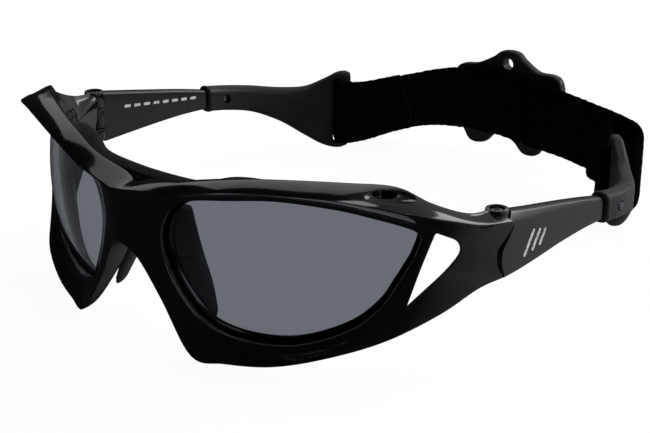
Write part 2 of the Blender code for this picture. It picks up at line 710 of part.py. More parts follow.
def make_brow_seal(material):
    """A matte cushion strip that follows the rear edge of the brow."""
    half = [station[3] for station in RIM_STATIONS[1:6]]
    points = spline([(-x, y, z) for x, y, z in reversed(half)] + half, SEAL_STEPS)
    points = [point for point in points if abs(point[0]) < SEAL_HALF_WIDTH]
    rings = []
    for i, (x, y, z) in enumerate(points):
        along = level_way(points, i)
        back = Vector((-along.y, along.x, 0))
        share = max(0.0, abs(x) - SEAL_DROP_START) / (SEAL_HALF_WIDTH - SEAL_DROP_START)
        drop = SEAL_END_DROP * share ** 2
        start = Vector((x, y, z + SEAL_START[1] - drop)) + back * SEAL_START[0]
        rings.append([start + back * a + Vector((0, 0, b)) for a, b in SEAL_PROFILE])
    add_object("brow_seal", loft(rings), material)


def make_nose_pad(name, side, material):
    """A rounded pad that hangs behind the nose side of the rim."""
    points = [Vector(point) for point in spline(NOSE_PAD_PATH, NOSE_PAD_STEPS)]
    flare = math.radians(NOSE_PAD_FLARE)
    depth_way = Vector((math.sin(flare), math.cos(flare), 0))
    last = len(points) - 1
    rings = []
    for i, point in enumerate(points):
        along = (points[min(i + 1, last)] - points[max(i - 1, 0)]).normalized()
        thick_way = depth_way.cross(along).normalized()
        taper = NOSE_PAD_TAPER * max(0.0, 2 * i / last - 1) ** 2
        depth = depth_way * (NOSE_PAD_DEPTH / 2 * (1 - taper))
        thickness = thick_way * (NOSE_PAD_THICKNESS / 2 * (1 - taper))
        angles = [2 * math.pi * step / NOSE_PAD_SIDES for step in range(NOSE_PAD_SIDES)]
        rings.append([point + depth * math.cos(a) + thickness * math.sin(a) for a in angles])
    add_object(name, loft(rings, mirror=side < 0), material)


# ---------------------------------------------------------------- assembly

GLOSS = make_material("gloss_black_nylon", (0.012, 0.012, 0.014), 0.12)
SATIN = make_material("satin_black_nylon", (0.018, 0.018, 0.02), 0.28)
RUBBER = make_material("matte_black_rubber", (0.03, 0.03, 0.033), 0.6)
FOAM = make_material("matte_seal_foam", (0.04, 0.04, 0.043), 0.85)
PILE = make_material("black_pile_webbing", (0.01, 0.01, 0.011), 0.95)
TAPE = make_material("black_hook_tape", (0.015, 0.015, 0.016), 0.8)
LENS = make_material("grey_polarised_lens", (0.09, 0.1, 0.11), 0.05)
STEEL = make_material("dark_steel", (0.25, 0.25, 0.26), 0.35, 1.0)

make_front(GLOSS)
make_brow_seal(FOAM)
strap_pivots = {}
for side_name, side_sign, strap_path in (("left", 1, LEFT_STRAP), ("right", -1, RIGHT_STRAP)):
    temple = make_pivot(f"temple_{side_name}_axis",
                        Vector((side_sign * HINGE_X, HINGE_Y, KNUCKLE_BOTTOM)), DATUM)
    strap_pivot = make_pivot(f"strap_{side_name}_axis", flip(BAR_PLACE, side_sign), temple)
    strap_pivots[side_name] = strap_pivot
    make_lens(f"lens_{side_name}", side_sign, LENS)
    make_nose_pad(f"nose_pad_{side_name}", side_sign, RUBBER)
    make_screw(f"hinge_screw_{side_name}", side_sign, STEEL)
    make_arm(f"arm_{side_name}", side_sign, SATIN, temple)
    make_sleeve(f"sleeve_{side_name}", side_sign, RUBBER, temple)
    make_stud(f"sleeve_stud_{side_name}", side_sign, STEEL, temple)
    make_strap(f"strap_{side_name}", strap_path, PILE, strap_pivot)
    make_fold_tape(f"fold_tape_{side_name}", side_sign, strap_path, TAPE, strap_pivot)
make_rear_pad(RUBBER, strap_pivots["right"])
make_pad_tape("pad_tape_left", LEFT_PAD_TAPE, TAPE, strap_pivots["right"])
make_pad_tape("pad_tape_right", RIGHT_PAD_TAPE, TAPE, strap_pivots["right"])
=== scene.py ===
import math

import bmesh
import bpy
from mathutils import Matrix, Vector, noise


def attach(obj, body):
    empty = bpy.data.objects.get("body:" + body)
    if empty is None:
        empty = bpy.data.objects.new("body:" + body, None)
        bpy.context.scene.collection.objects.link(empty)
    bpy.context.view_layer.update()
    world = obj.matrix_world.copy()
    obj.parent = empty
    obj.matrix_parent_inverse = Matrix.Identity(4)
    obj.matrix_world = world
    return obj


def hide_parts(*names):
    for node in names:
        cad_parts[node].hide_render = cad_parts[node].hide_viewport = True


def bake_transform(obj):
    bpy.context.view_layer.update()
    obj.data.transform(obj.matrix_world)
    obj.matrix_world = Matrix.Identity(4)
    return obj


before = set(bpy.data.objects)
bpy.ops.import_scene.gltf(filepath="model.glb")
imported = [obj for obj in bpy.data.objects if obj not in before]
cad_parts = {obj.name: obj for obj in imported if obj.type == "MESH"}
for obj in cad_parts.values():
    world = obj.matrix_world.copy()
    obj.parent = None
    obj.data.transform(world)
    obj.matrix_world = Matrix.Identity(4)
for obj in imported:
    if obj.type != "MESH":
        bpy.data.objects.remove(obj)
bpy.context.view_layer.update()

# ---------------- dimensions, in millimetres

MM = 0.001
# The object stands on the rims' nose ends and the sleeves' lower ends, both as (y, z).
FRONT_FOOT = (3.6, -0.3)
REAR_FOOT = (123.7, 3.3)
DATUM_BACK = 73.93
DATUM_UP = 0.43
LEAN = -math.atan2(REAR_FOOT[1] - FRONT_FOOT[1], REAR_FOOT[0] - FRONT_FOOT[0])

# The left lens is part of a sphere; the lips, groove and rear of its rim are concentric.
LENS_CENTRE = Vector((6.3, 67.9, 24.0))
LENS_RADIUS = 66.0
LENS_THICKNESS = 2.0
LENS_INSET = 1.5
LENS_MIDDLE = (35.0, 23.0)
LENS_STEPS = 6
LENS_LEVELS = 12

LIP_FRONT_RADIUS = 66.9
LIP_CREST_RADIUS = 67.4
GROOVE_FRONT_RADIUS = 66.3
GROOVE_REAR_RADIUS = 63.6
GROOVE_DEPTH = 1.9
RIM_REAR_RADIUS = 61.8
REAR_CHAMFER = 0.6
LIP_WIDTH = 1.1
FACE_CROWN = 0.35

# Stations round the left rim: opening (x, z), front edge, rear edge.
RIM_STATIONS = [
    ((11.9, 32.4), (-1.5, -4.4, 35.0), (-1.5, 4.4, 35.2)),
    ((16.6, 35.3), (14.0, -1.5, 37.6), (14.0, 4.3, 39.3)),
    ((25.5, 36.9), (25.0, 1.3, 40.0), (25.0, 7.7, 41.4)),
    ((35.5, 38.0), (36.0, 5.5, 40.9), (36.0, 12.6, 42.4)),
    ((45.5, 37.1), (46.6, 9.9, 41.4), (47.0, 18.6, 42.8)),
    ((52.3, 35.1), (54.2, 13.8, 40.9), (55.3, 24.3, 42.4)),
    ((56.7, 33.1), (61.8, 22.8, 38.0), (60.4, 29.6, 38.6)),
    ((58.3, 31.5), (66.9, 37.0, 33.4), (63.6, 38.4, 34.8)),
    ((58.4, 30.1), (69.0, 49.0, 31.0), (64.6, 49.0, 33.4)),
    ((58.1, 28.4), (69.2, 49.0, 25.4), (64.6, 49.0, 26.0)),
    ((57.7, 26.6), (69.0, 49.0, 20.3), (64.6, 49.0, 20.6)),
    ((56.9, 24.4), (66.3, 39.0, 18.5), (62.4, 40.6, 19.1)),
    ((55.7, 21.4), (62.0, 30.9, 13.7), (58.6, 33.4, 14.6)),
    ((53.0, 15.9), (55.0, 22.0, 8.5), (51.2, 24.4, 9.6)),
    ((47.5, 10.3), (46.6, 13.5, 5.0), (43.6, 17.6, 5.6)),
    ((37.6, 5.8), (36.0, 7.5, 1.6), (34.4, 12.2, 2.1)),
    ((27.0, 5.2), (25.6, 3.2, 0.4), (24.9, 8.0, 0.7)),
    ((18.8, 7.6), (18.0, 0.5, 0.8), (18.6, 5.4, 1.3)),
    ((13.3, 14.3), (9.6, 0.0, 12.2), (10.6, 6.8, 12.4)),
    ((10.2, 21.2), (3.9, -1.7, 21.4), (4.6, 6.4, 21.4)),
    ((9.6, 27.2), (-2.0, -3.6, 25.6), (-2.0, 5.6, 26.4)),
]
STATION_STEPS = 7
# The front is evened out this far from its middle, this many times.
MIDDLE_HALF_WIDTH = 1.6
MIDDLE_ROUNDS = 6

# Side vent, cut along one direction through the front.
VENT_CORNERS = [(60.7, 30.1, 32.1), (64.3, 33.6, 30.2), (64.9, 34.1, 27.8),
                (63.0, 31.8, 24.0), (57.4, 25.1, 15.9), (59.0, 27.5, 24.3)]
VENT_CORNER_RADII = (0.7, 1.2, 2.0, 3.0, 0.5, 3.0)
VENT_DIRECTION = Vector((0.60, -0.71, 0.37))
VENT_REACH = 9.0
# Air scoop in the top of the brow wing: a shallow dish and a deep slanted hollow.
SCOOP_MIDDLE = Vector((56.4, 21.0, 41.2))
SCOOP_ALONG = Vector((0.50, 0.85, -0.15))
SCOOP_NORMAL = Vector((0.52, -0.16, 0.81))
# Half sizes of each hollowing ball, its moves along and across the scoop, and its tilt.
SCOOP_DISH = ((5.9, 1.9, 1.2), 0.0, 0.0, 0.0)
SCOOP_HOLLOW = ((2.9, 0.9, 3.2), -1.0, 0.8, 28.0)

# Hinges, and the line along which front and arm meet, as (y, z).
HINGE_X = 65.0
HINGE_Y = 45.2
BARREL_RADIUS = 2.5
BARREL_GAP = 0.4
BARREL_TOP = 34.3
BARREL_BOTTOM = 20.9
KNUCKLE_TOP = 29.6
KNUCKLE_BOTTOM = 24.4
BORE_RADIUS = 1.0
SCREW_RADIUS = 0.7
SCREW_HEAD_RADIUS = 1.4
SCREW_HEAD_HEIGHT = 0.9
SCREW_END_GAP = 1.2
# Length, width and depth of each slot of the cross in a screw's head.
SCREW_CROSS = (1.7, 0.36, 0.45)
FIT_GAP = 0.3
JOINT_GAP = 0.06
EDGE = 0.25
END_REACH = 12.0
END_DEPTH = 20.0
JOINT_LINE = [(45.4, 38.0), (45.6, 33.1), (46.6, 30.8), (45.0, 28.6), (42.9, 25.8),
              (43.0, 22.6), (44.2, 19.6), (44.6, 15.0)]

# Arms: (y, outer x, thickness, bottom z, top z, top chamfer).
ARM_SECTIONS = [
    (38.0, 68.2, 4.0, 19.5, 34.6, 2.2),
    (47.0, 68.5, 4.1, 19.6, 33.6, 2.0),
    (56.0, 68.3, 3.9, 20.0, 31.9, 1.6),
    (66.0, 67.8, 3.6, 20.5, 30.0, 1.3),
    (76.0, 67.4, 3.3, 20.7, 28.0, 1.0),
    (85.0, 67.0, 3.0, 20.4, 26.0, 0.8),
]
CHAMFER_DROP = 1.2
CHAMFER_RUN = 0.7
ARM_CROWN = 0.12
# Printed marks on the arms: (y, z, length, width, slant in degrees) of each bar.
OUTER_BARS = [(52.6, 25.2, 6.4, 0.9, 58), (55.4, 25.1, 5.2, 0.9, 58), (58.0, 25.0, 4.0, 0.9, 58)]
INNER_BARS = [(56.0 + 3.4 * step, 27.9 - 0.42 * step, 2.2, 0.8, -6) for step in range(8)]
# Each arm's tongue inside its sleeve, as the arm's sections.
TANG_SECTIONS = [
    (84.0, 66.6, 2.2, 21.3, 25.1, 0.5),
    (90.0, 66.3, 2.0, 20.8, 24.4, 0.5),
    (97.0, 64.9, 1.8, 20.0, 23.4, 0.5),
]

# Sleeves: (centre x, y, bottom z, top z, thickness).
SLEEVE_SECTIONS = [
    (65.5, 85.4, 19.4, 26.8, 4.6),
    (65.0, 93.0, 18.3, 25.6, 4.8),
    (62.6, 101.5, 16.4, 24.2, 4.8),
    (58.6, 109.2, 12.6, 22.8, 4.4),
    (54.2, 115.6, 7.6, 22.6, 4.0),
    (50.6, 120.0, 4.3, 24.6, 3.6),
    (47.4, 123.4, 3.3, 26.8, 3.4),
    (45.0, 125.9, 4.6, 26.8, 3.0),
]
SLEEVE_STEPS = 8
SLEEVE_SIDES = 32
SLEEVE_COLLAR = 0.15
SLOT_CENTRE = Vector((47.9, 123.0, 15.0))
SLOT_WIDTH = 2.3
SLOT_LENGTH = 16.0
SLOT_HEIGHT = 19.8
SLOT_AZIMUTH = 133.0
STUD_CENTRE = Vector((65.6, 92.0, 22.1))
STUD_RADIUS = 1.0
STUD_LENGTH = 4.4

STRAP_WIDTH = 19.0
STRAP_THICKNESS = 1.5
# (x, y, z) of the strap's middle line, and its lean in degrees.
LEFT_STRAP = [
    (32.0, 136.2, 18.4, 0), (38.0, 134.0, 17.6, 0), (41.2, 130.4, 16.4, 0),
    (42.2, 125.6, 15.2, 0), (44.5, 121.1, 15.0, 0), (47.9, 123.0, 15.0, 0),
    (50.6, 126.2, 15.8, 0), (50.4, 130.0, 17.2, 0), (46.6, 134.4, 18.2, 0),
    (40.0, 137.3, 18.6, 0), (30.0, 140.2, 19.0, 0), (18.0, 142.9, 19.6, 0),
    (5.0, 144.6, 19.8, 0),
]
RIGHT_STRAP = [
    (-32.0, 136.2, 17.8, -20), (-38.0, 134.0, 15.7, -18), (-41.2, 130.4, 14.6, -12),
    (-42.2, 125.6, 14.8, -4), (-44.5, 121.1, 15.0, 0), (-47.9, 123.0, 15.0, 0),
    (-50.6, 126.2, 14.5, -4), (-50.4, 130.0, 13.4, -11), (-46.6, 134.4, 12.9, -18),
    (-40.0, 137.3, 14.6, -22), (-30.0, 140.2, 17.8, -21), (-18.0, 142.2, 20.5, -9),
    (-7.0, 144.3, 20.9, -1), (4.0, 144.7, 20.2, 0),
]
STRAP_END_ROUNDING = 0.4
TAPE_END_ROUNDING = 0.2
STRAP_STEPS = 18
STRAP_ACROSS = 26
PILE_HEIGHT = 0.2
FUZZ = 0.13
TAPE_THICKNESS = 0.7
TAPE_WIDTH = 17.0
TAPE_ACROSS = 12
STITCH_HALF_SIZES = (0.42, 0.14, 0.14)
STITCH_ROWS = (-0.42, 0.42)

# Rear pad: outline (x, z), bend, and the x span of each patch of hook tape.
PAD_OUTLINE = [
    (-21.0, 27.8), (-13.9, 30.8), (-8.9, 33.4), (-5.7, 35.6), (-0.9, 35.8), (1.9, 33.8),
    (6.5, 31.4), (15.0, 29.4), (15.0, 10.4), (10.1, 9.8), (7.3, 6.6), (2.9, 6.2),
    (-0.5, 9.0), (-4.7, 10.8), (-8.1, 9.6), (-10.9, 7.0), (-15.5, 6.8), (-18.5, 10.8),
    (-21.0, 12.0),
]
PAD_STEPS = 8
PAD_THICKNESS = 3.0
PAD_MIDDLE_Y = 148.6
PAD_BEND_RADIUS = 150.0
PAD_FOLDS = 30
PAD_EDGE_RADIUS = 0.9
PAD_EDGE_STEPS = 5
PAD_TAPE_Z = 19.8
PAD_TAPE_STEPS = 8
LEFT_PAD_TAPE = (5.8, 14.0)
RIGHT_PAD_TAPE = (-19.5, 3.2)
LEASH_HOLE = (-3.3, 32.2)
LEASH_HOLE_RADIUS = 1.7

# Brow seal: its start behind and below the brow's rear edge, and its profile from there.
SEAL_START = (2.2, -0.6)
SEAL_HALF_WIDTH = 36.0
SEAL_DROP_START = 24.0
SEAL_END_DROP = 2.4
# Share of the profile's height at the seal's ends and over the bridge.
SEAL_END_HEIGHT = 0.6
SEAL_MIDDLE_HEIGHT = 1.6
SEAL_PROFILE = [(-2.0, -0.7), (1.0, -0.2), (2.8, -0.9), (3.2, -2.6), (2.9, -4.0), (2.0, -3.8)]
# Nose pads: middle line (x, y, z), depth, thickness, turn outward and thinning at the foot.
NOSE_PAD_PATH = [(5.6, 10.0, 29.6), (6.5, 10.7, 23.6), (8.8, 10.5, 18.0), (12.4, 10.2, 11.6),
                 (15.4, 9.8, 5.6)]
NOSE_PAD_DEPTH = 7.0
NOSE_PAD_THICKNESS = 2.6
NOSE_PAD_FLARE = 20.0
NOSE_PAD_TAPER = 0.45
NOSE_PAD_STEPS = 12
NOSE_PAD_SIDES = 28

# The camera, as its place in the drawing, its angles and its focal length in frame widths.
CAMERA_PLACE = Vector((222.0, -184.0, 139.5))
CAMERA_AZIMUTH = 41.8
CAMERA_ELEVATION = 21.25
CAMERA_FOCAL_WIDTHS = 2.1846
SENSOR_WIDTH = 36.0

# The floor is this far below the object, in metres.
FLOOR_DROP = 0.0002
# The way to the brighter side of what the gloss mirrors.
BRIGHT_SIDE = (0.55, 0.72, 0.12)
# Softboxes: name, place and size in metres, power in watts.
SOFTBOX_TARGET = (0.0, 0.0, 0.02)
SOFTBOXES = [
    ("overhead", (0.0, 0.1, 0.8), (0.5, 0.25), 1.2),
    ("left_rear", (-0.5, 0.6, 0.55), (0.8, 0.5), 0.7),
    ("left_strip", (-0.2, 0.8, 0.5), (0.08, 0.35), 0.25),
    ("right_rear", (0.42, 0.68, 0.40), (0.6, 0.35), 2.6),
    ("front_strip", (0.75, -0.1, 0.35), (0.08, 0.5), 0.4),
]

# Edges sharper than these angles, in degrees, stay sharp in the shading.
SHARP_ANGLE = 35.0
CARVED_SHARP_ANGLE = 32.0

RIGID = Matrix.Translation((0, -DATUM_BACK * MM, DATUM_UP * MM)) @ Matrix.Rotation(LEAN, 4, "X")
PLACE = RIGID @ Matrix.Scale(MM, 4)
SIDES = (("left", 1), ("right", -1))


# ---------------- curves and lofts

def spline_point(before, start, end, after, t):
    """Catmull-Rom blend of four points given as tuples of any length."""
    return tuple(
        0.5 * (2 * b + (c - a) * t + (2 * a - 5 * b + 4 * c - d) * t * t
               + (3 * b - a - 3 * c + d) * t ** 3)
        for a, b, c, d in zip(before, start, end, after))


def spline(points, steps, closed=False):
    """Points along a smooth curve through the given ones, with steps in each span."""
    count = len(points)
    result = []
    for i in range(count if closed else count - 1):
        if closed:
            around = [points[(i + k) % count] for k in (-1, 0, 1, 2)]
        else:
            around = [points[min(max(i + k, 0), count - 1)] for k in (-1, 0, 1, 2)]
        result += [spline_point(*around, step / steps) for step in range(steps)]
    if not closed:
        result.append(tuple(points[-1]))
    return result


def rounded_ring(corners, steps):
    """A closed ring through (point, radius) corners, each rounded off by a short curve."""
    ring = []
    for i, (point, radius) in enumerate(corners):
        before, after = corners[i - 1][0], corners[(i + 1) % len(corners)][0]
        to_before, to_after = before - point, after - point
        start = point + to_before.normalized() * min(radius, to_before.length * 0.45)
        end = point + to_after.normalized() * min(radius, to_after.length * 0.45)
        for step in range(steps + 1):
            t = step / steps
            ring.append(start.lerp(point, t).lerp(point.lerp(end, t), t))
    return ring


def mesh_from(bm, sharp_angle=SHARP_ANGLE):
    """A smooth-shaded mesh with outward normals and sharp edges above an angle."""
    bmesh.ops.recalc_face_normals(bm, faces=bm.faces)
    mesh = bpy.data.meshes.new("shape")
    bm.to_mesh(mesh)
    bm.free()
    mesh.shade_smooth()
    mesh.set_sharp_from_angle(angle=math.radians(sharp_angle))
    return mesh


def loft(rings, closed=False, mirror=False):
    """A closed skin over rings of equal length, capped unless the rings close on themselves."""
    bm = bmesh.new()
    side = -1 if mirror else 1
    skins = [[bm.verts.new((side * p[0], p[1], p[2])) for p in ring] for ring in rings]
    count = len(rings[0])
    for i in range(len(rings) if closed else len(rings) - 1):
        here, there = skins[i], skins[(i + 1) % len(rings)]
        for k in range(count):
            n = (k + 1) % count
            bm.faces.new((here[k], here[n], there[n], there[k]))
    if not closed:
        bm.faces.new(skins[0])
        bm.faces.new(reversed(skins[-1]))
    return mesh_from(bm)


def middle_of(ring):
    return sum((Vector(p) for p in ring), Vector()) / len(ring)


def softened(rings, radius, steps=4):
    """The same rings with both ends rounded over by a radius."""
    ends = [middle_of(rings[0]), middle_of(rings[-1])]
    inner = [ring for ring in rings
             if min((middle_of(ring) - end).length for end in ends) > radius * 1.1]

    def end_rings(first, centre, towards):
        inward = (towards - centre).normalized()
        result = []
        for step in range(steps + 1):
            angle = math.pi / 2 * step / steps
            inset = radius * (1 - math.sin(angle))
            shift = inward * (radius * (1 - math.cos(angle)))
            row = []
            for p in first:
                way = Vector(p) - centre
                row.append(Vector(p) - way.normalized() * min(inset, way.length * 0.9) + shift)
            result.append(row)
        return result

    head = end_rings(rings[0], ends[0], middle_of(inner[0]))
    tail = end_rings(rings[-1], ends[1], middle_of(inner[-1]))
    return head + inner + tail[::-1]


def circle(radius, z, segments):
    angles = [2 * math.pi * step / segments for step in range(segments)]
    return [Vector((radius * math.cos(a), radius * math.sin(a), z)) for a in angles]


def turned(profile, centre, axis="Z", segments=48):
    """A closed turned shape: a profile of (radius, height) about an axis through a point."""
    turns = {"X": Matrix.Rotation(math.pi / 2, 4, "Y"), "Y": Matrix.Rotation(math.pi / 2, 4, "X"),
             "Z": Matrix.Identity(4)}
    mesh = loft([circle(radius, z, segments) for radius, z in profile])
    mesh.transform(Matrix.Translation(centre) @ turns[axis])
    return mesh


def rod(centre, radius, length, axis="Z", edge=0.0, segments=48):
    """A cylinder centred on a point, with its edges broken if an edge size is given."""
    half = length / 2
    profile = [(radius, -half), (radius, half)]
    if edge:
        profile = [(radius - edge, -half), (radius - edge * 0.3, edge * 0.3 - half),
                   (radius, edge - half), (radius, half - edge),
                   (radius - edge * 0.3, half - edge * 0.3), (radius - edge, half)]
    return turned(profile, centre, axis, segments)


def flip(point, side):
    return Vector((side * point[0], point[1], point[2]))


def prism(outline, direction, reach):
    """An outline swept both ways along a direction."""
    near = [Vector(p) - direction * reach for p in outline]
    far = [Vector(p) + direction * reach for p in outline]
    return loft([near, far])


def ball(half_sizes, place, segments=48):
    """A stretched ball put in place by a matrix."""
    bm = bmesh.new()
    bmesh.ops.create_uvsphere(bm, u_segments=segments, v_segments=segments // 2, radius=1.0)
    bmesh.ops.scale(bm, vec=Vector(half_sizes), verts=bm.verts)
    bmesh.ops.transform(bm, matrix=place, verts=bm.verts)
    return mesh_from(bm)


def carved(mesh, steps, prepare=None):
    """The mesh after Boolean steps of (operation, cutter mesh), and any last modifier."""
    body = bpy.data.objects.new("body", mesh)
    helpers = [body]
    for operation, cutter in steps:
        tool = bpy.data.objects.new("tool", cutter)
        helpers.append(tool)
        step = body.modifiers.new("step", "BOOLEAN")
        step.operation = operation
        step.object = tool
        step.solver = "EXACT"
    if prepare:
        prepare(body)
    for helper in helpers:
        bpy.context.scene.collection.objects.link(helper)
    depsgraph = bpy.context.evaluated_depsgraph_get()
    result = bpy.data.meshes.new_from_object(body.evaluated_get(depsgraph))
    for helper in helpers:
        bpy.data.objects.remove(helper, do_unlink=True)
    result.materials.clear()
    result.shade_smooth()
    result.set_sharp_from_angle(angle=math.radians(CARVED_SHARP_ANGLE))
    return result


def joined(meshes):
    """Several meshes as one."""
    bm = bmesh.new()
    for mesh in meshes:
        bm.from_mesh(mesh)
    return mesh_from(bm)


def add_piece(name, mesh, material, body, slot, *replaced):
    """Places a drawn mesh as a piece that rides on a body and stands for CAD nodes."""
    mesh.transform(PLACE)
    mesh.materials.append(material)
    piece = bpy.data.objects.new(name, mesh)
    bpy.context.scene.collection.objects.link(piece)
    if replaced:
        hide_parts(*replaced)
    if body:
        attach(piece, body)
    return piece


# ---------------- materials

def new_material(name, colour, roughness, **sockets):
    """A Principled material and its node tree, with any further sockets set by name."""
    material = bpy.data.materials.new(name)
    material.use_nodes = True
    tree = material.node_tree
    shader = tree.nodes["Principled BSDF"]
    shader.inputs["Base Color"].default_value = (*colour, 1.0)
    shader.inputs["Roughness"].default_value = roughness
    for socket, value in sockets.items():
        shader.inputs[socket.replace("_", " ")].default_value = value
    return material, tree, shader


def add_noise(tree, scale, detail=3.0, distortion=0.0, stretch=(1, 1, 1)):
    """A noise texture in the object's own space, at a scale per metre."""
    coordinates = tree.nodes.new("ShaderNodeTexCoord")
    mapping = tree.nodes.new("ShaderNodeMapping")
    mapping.inputs["Scale"].default_value = stretch
    texture = tree.nodes.new("ShaderNodeTexNoise")
    texture.inputs["Scale"].default_value = scale
    texture.inputs["Detail"].default_value = detail
    texture.inputs["Distortion"].default_value = distortion
    tree.links.new(coordinates.outputs["Object"], mapping.inputs["Vector"])
    tree.links.new(mapping.outputs["Vector"], texture.inputs["Vector"])
    return texture.outputs["Fac"]


def ramp(tree, source, low, high, from_min=0.35, from_max=0.65):
    """The source remapped to run from low to high."""
    node = tree.nodes.new("ShaderNodeMapRange")
    node.inputs["From Min"].default_value = from_min
    node.inputs["From Max"].default_value = from_max
    node.inputs["To Min"].default_value = low
    node.inputs["To Max"].default_value = high
    tree.links.new(source, node.inputs["Value"])
    return node.outputs["Result"]


def add_cells(tree, scale, randomness=1.0):
    """Distances inside small cells in the object's own space, at a scale per metre."""
    coordinates = tree.nodes.new("ShaderNodeTexCoord")
    cells = tree.nodes.new("ShaderNodeTexVoronoi")
    cells.inputs["Scale"].default_value = scale
    cells.inputs["Randomness"].default_value = randomness
    tree.links.new(coordinates.outputs["Object"], cells.inputs["Vector"])
    return cells.outputs["Distance"]


def colour_by(tree, shader, share, first, second):
    """Colours the surface between two colours by a share."""
    mix = tree.nodes.new("ShaderNodeMix")
    mix.data_type = "RGBA"
    mix.inputs["A"].default_value = (*first, 1.0)
    mix.inputs["B"].default_value = (*second, 1.0)
    tree.links.new(share, mix.inputs["Factor"])
    tree.links.new(mix.outputs["Result"], shader.inputs["Base Color"])


def roughness_by(tree, shader, source, low, high):
    """Runs the roughness from low to high by a source."""
    tree.links.new(ramp(tree, source, low, high), shader.inputs["Roughness"])


def add_bump(tree, shader, height, distance, strength=1.0, edge_radius=0.0):
    """Bumps the surface by a height, over edges softened by a radius in metres."""
    bump = tree.nodes.new("ShaderNodeBump")
    bump.inputs["Distance"].default_value = distance
    bump.inputs["Strength"].default_value = strength
    tree.links.new(height, bump.inputs["Height"])
    if edge_radius:
        bevel = tree.nodes.new("ShaderNodeBevel")
        bevel.samples = 4
        bevel.inputs["Radius"].default_value = edge_radius
        tree.links.new(bevel.outputs["Normal"], bump.inputs["Normal"])
    tree.links.new(bump.outputs["Normal"], shader.inputs["Normal"])


def gloss_material():
    """Polished nylon: near black, with soft flow marks and hairline wear in the gloss."""
    material, tree, shader = new_material("polished_nylon", (0.003, 0.003, 0.0035), 0.08,
                                          Specular_IOR_Level=0.5, Coat_Weight=0.25,
                                          Coat_Roughness=0.03)
    flow = add_noise(tree, 110.0, 1.0, 0.8)
    wear = add_noise(tree, 900.0, 2.0, stretch=(1, 1, 6))
    roughness_by(tree, shader, wear, 0.06, 0.14)
    colour_by(tree, shader, flow, (0.002, 0.002, 0.0025), (0.004, 0.004, 0.0045))
    add_bump(tree, shader, flow, 0.00006, 0.3, 0.00022)
    return material


def satin_material():
    """Satin nylon for the arms, with a fine moulded grain."""
    material, tree, shader = new_material("satin_nylon", (0.004, 0.004, 0.0045), 0.28,
                                          Specular_IOR_Level=0.5)
    grain = add_noise(tree, 5200.0, 2.0)
    patches = add_noise(tree, 90.0, 3.0, 0.4)
    roughness_by(tree, shader, patches, 0.22, 0.32)
    colour_by(tree, shader, patches, (0.003, 0.003, 0.0035), (0.006, 0.006, 0.0065))
    add_bump(tree, shader, grain, 0.000006, 0.4, 0.0002)
    return material


def rubber_material(name, dark, light, roughness):
    """Soft moulded rubber: a dusty sheen, a fine grain and paler rubbed patches."""
    material, tree, shader = new_material(name, dark, roughness, Specular_IOR_Level=0.35,
                                          Sheen_Weight=0.02, Sheen_Roughness=0.5)
    grain = add_noise(tree, 3600.0, 3.0)
    rubbed = add_noise(tree, 140.0, 4.0, 0.3)
    colour_by(tree, shader, rubbed, dark, light)
    roughness_by(tree, shader, rubbed, roughness - 0.08, roughness + 0.08)
    add_bump(tree, shader, grain, 0.00003, 0.5, 0.0002)
    return material


def foam_material():
    """Closed-cell foam with fine open pores."""
    material, tree, shader = new_material("seal_foam", (0.008, 0.008, 0.009), 0.85,
                                          Specular_IOR_Level=0.15, Sheen_Weight=0.04)
    pores = add_cells(tree, 2600.0)
    colour_by(tree, shader, pores, (0.005, 0.005, 0.0055), (0.014, 0.014, 0.015))
    add_bump(tree, shader, pores, 0.0001, 0.6)
    return material


def pile_material():
    """Brushed loop pile: very black and matted, with each raised loop painted paler as a painted
    highlight on the loop tops.
    """
    material, tree, shader = new_material("loop_pile", (0.001, 0.001, 0.001), 1.0,
                                          Specular_IOR_Level=0.03)
    loop_height_and_highlight = add_noise(tree, 3400.0, 4.0, 1.2)
    matting = add_noise(tree, 260.0, 3.0, 0.8)
    # The colour is paler where each loop is raised: a painted highlight on the loop tops.
    colour_by(tree, shader, ramp(tree, loop_height_and_highlight, 0.0, 1.0, 0.55, 0.75),
              (0.0006, 0.0006, 0.0007), (0.004, 0.004, 0.0045))
    combined = tree.nodes.new("ShaderNodeMath")
    tree.links.new(loop_height_and_highlight, combined.inputs[0])
    tree.links.new(matting, combined.inputs[1])
    add_bump(tree, shader, combined.outputs["Value"], 0.00035, 0.9)
    return material


def tape_material():
    """Hook tape: rows of stiff nylon hooks on a woven ground."""
    material, tree, shader = new_material("hook_tape", (0.004, 0.004, 0.0045), 0.55)
    hooks = add_cells(tree, 1400.0, 0.25)
    colour_by(tree, shader, hooks, (0.007, 0.007, 0.0075), (0.002, 0.002, 0.002))
    add_bump(tree, shader, hooks, 0.0003, 0.8)
    return material


def lens_material():
    """Grey polarised polycarbonate."""
    material, tree, shader = new_material("grey_lens", (0.145, 0.154, 0.175), 0.0,
                                          Transmission_Weight=1.0, IOR=1.3,
                                          Specular_IOR_Level=0.5)
    haze = add_noise(tree, 45.0, 2.0)
    roughness_by(tree, shader, haze, 0.0, 0.012)
    return material


def steel_material():
    """Dark plated steel with fine turning marks."""
    material, tree, shader = new_material("plated_steel", (0.16, 0.16, 0.17), 0.35, Metallic=1.0)
    marks = add_noise(tree, 2500.0, 2.0, stretch=(1, 1, 0.1))
    roughness_by(tree, shader, marks, 0.25, 0.45)
    return material


def print_material():
    """Pale pad-printed ink, slightly worn."""
    material, tree, shader = new_material("pad_print", (0.6, 0.6, 0.6), 0.5)
    wear = add_noise(tree, 1500.0, 4.0)
    colour_by(tree, shader, ramp(tree, wear, 0.0, 1.0, 0.3, 0.5), (0.2, 0.2, 0.2),
              (0.62, 0.62, 0.62))
    return material


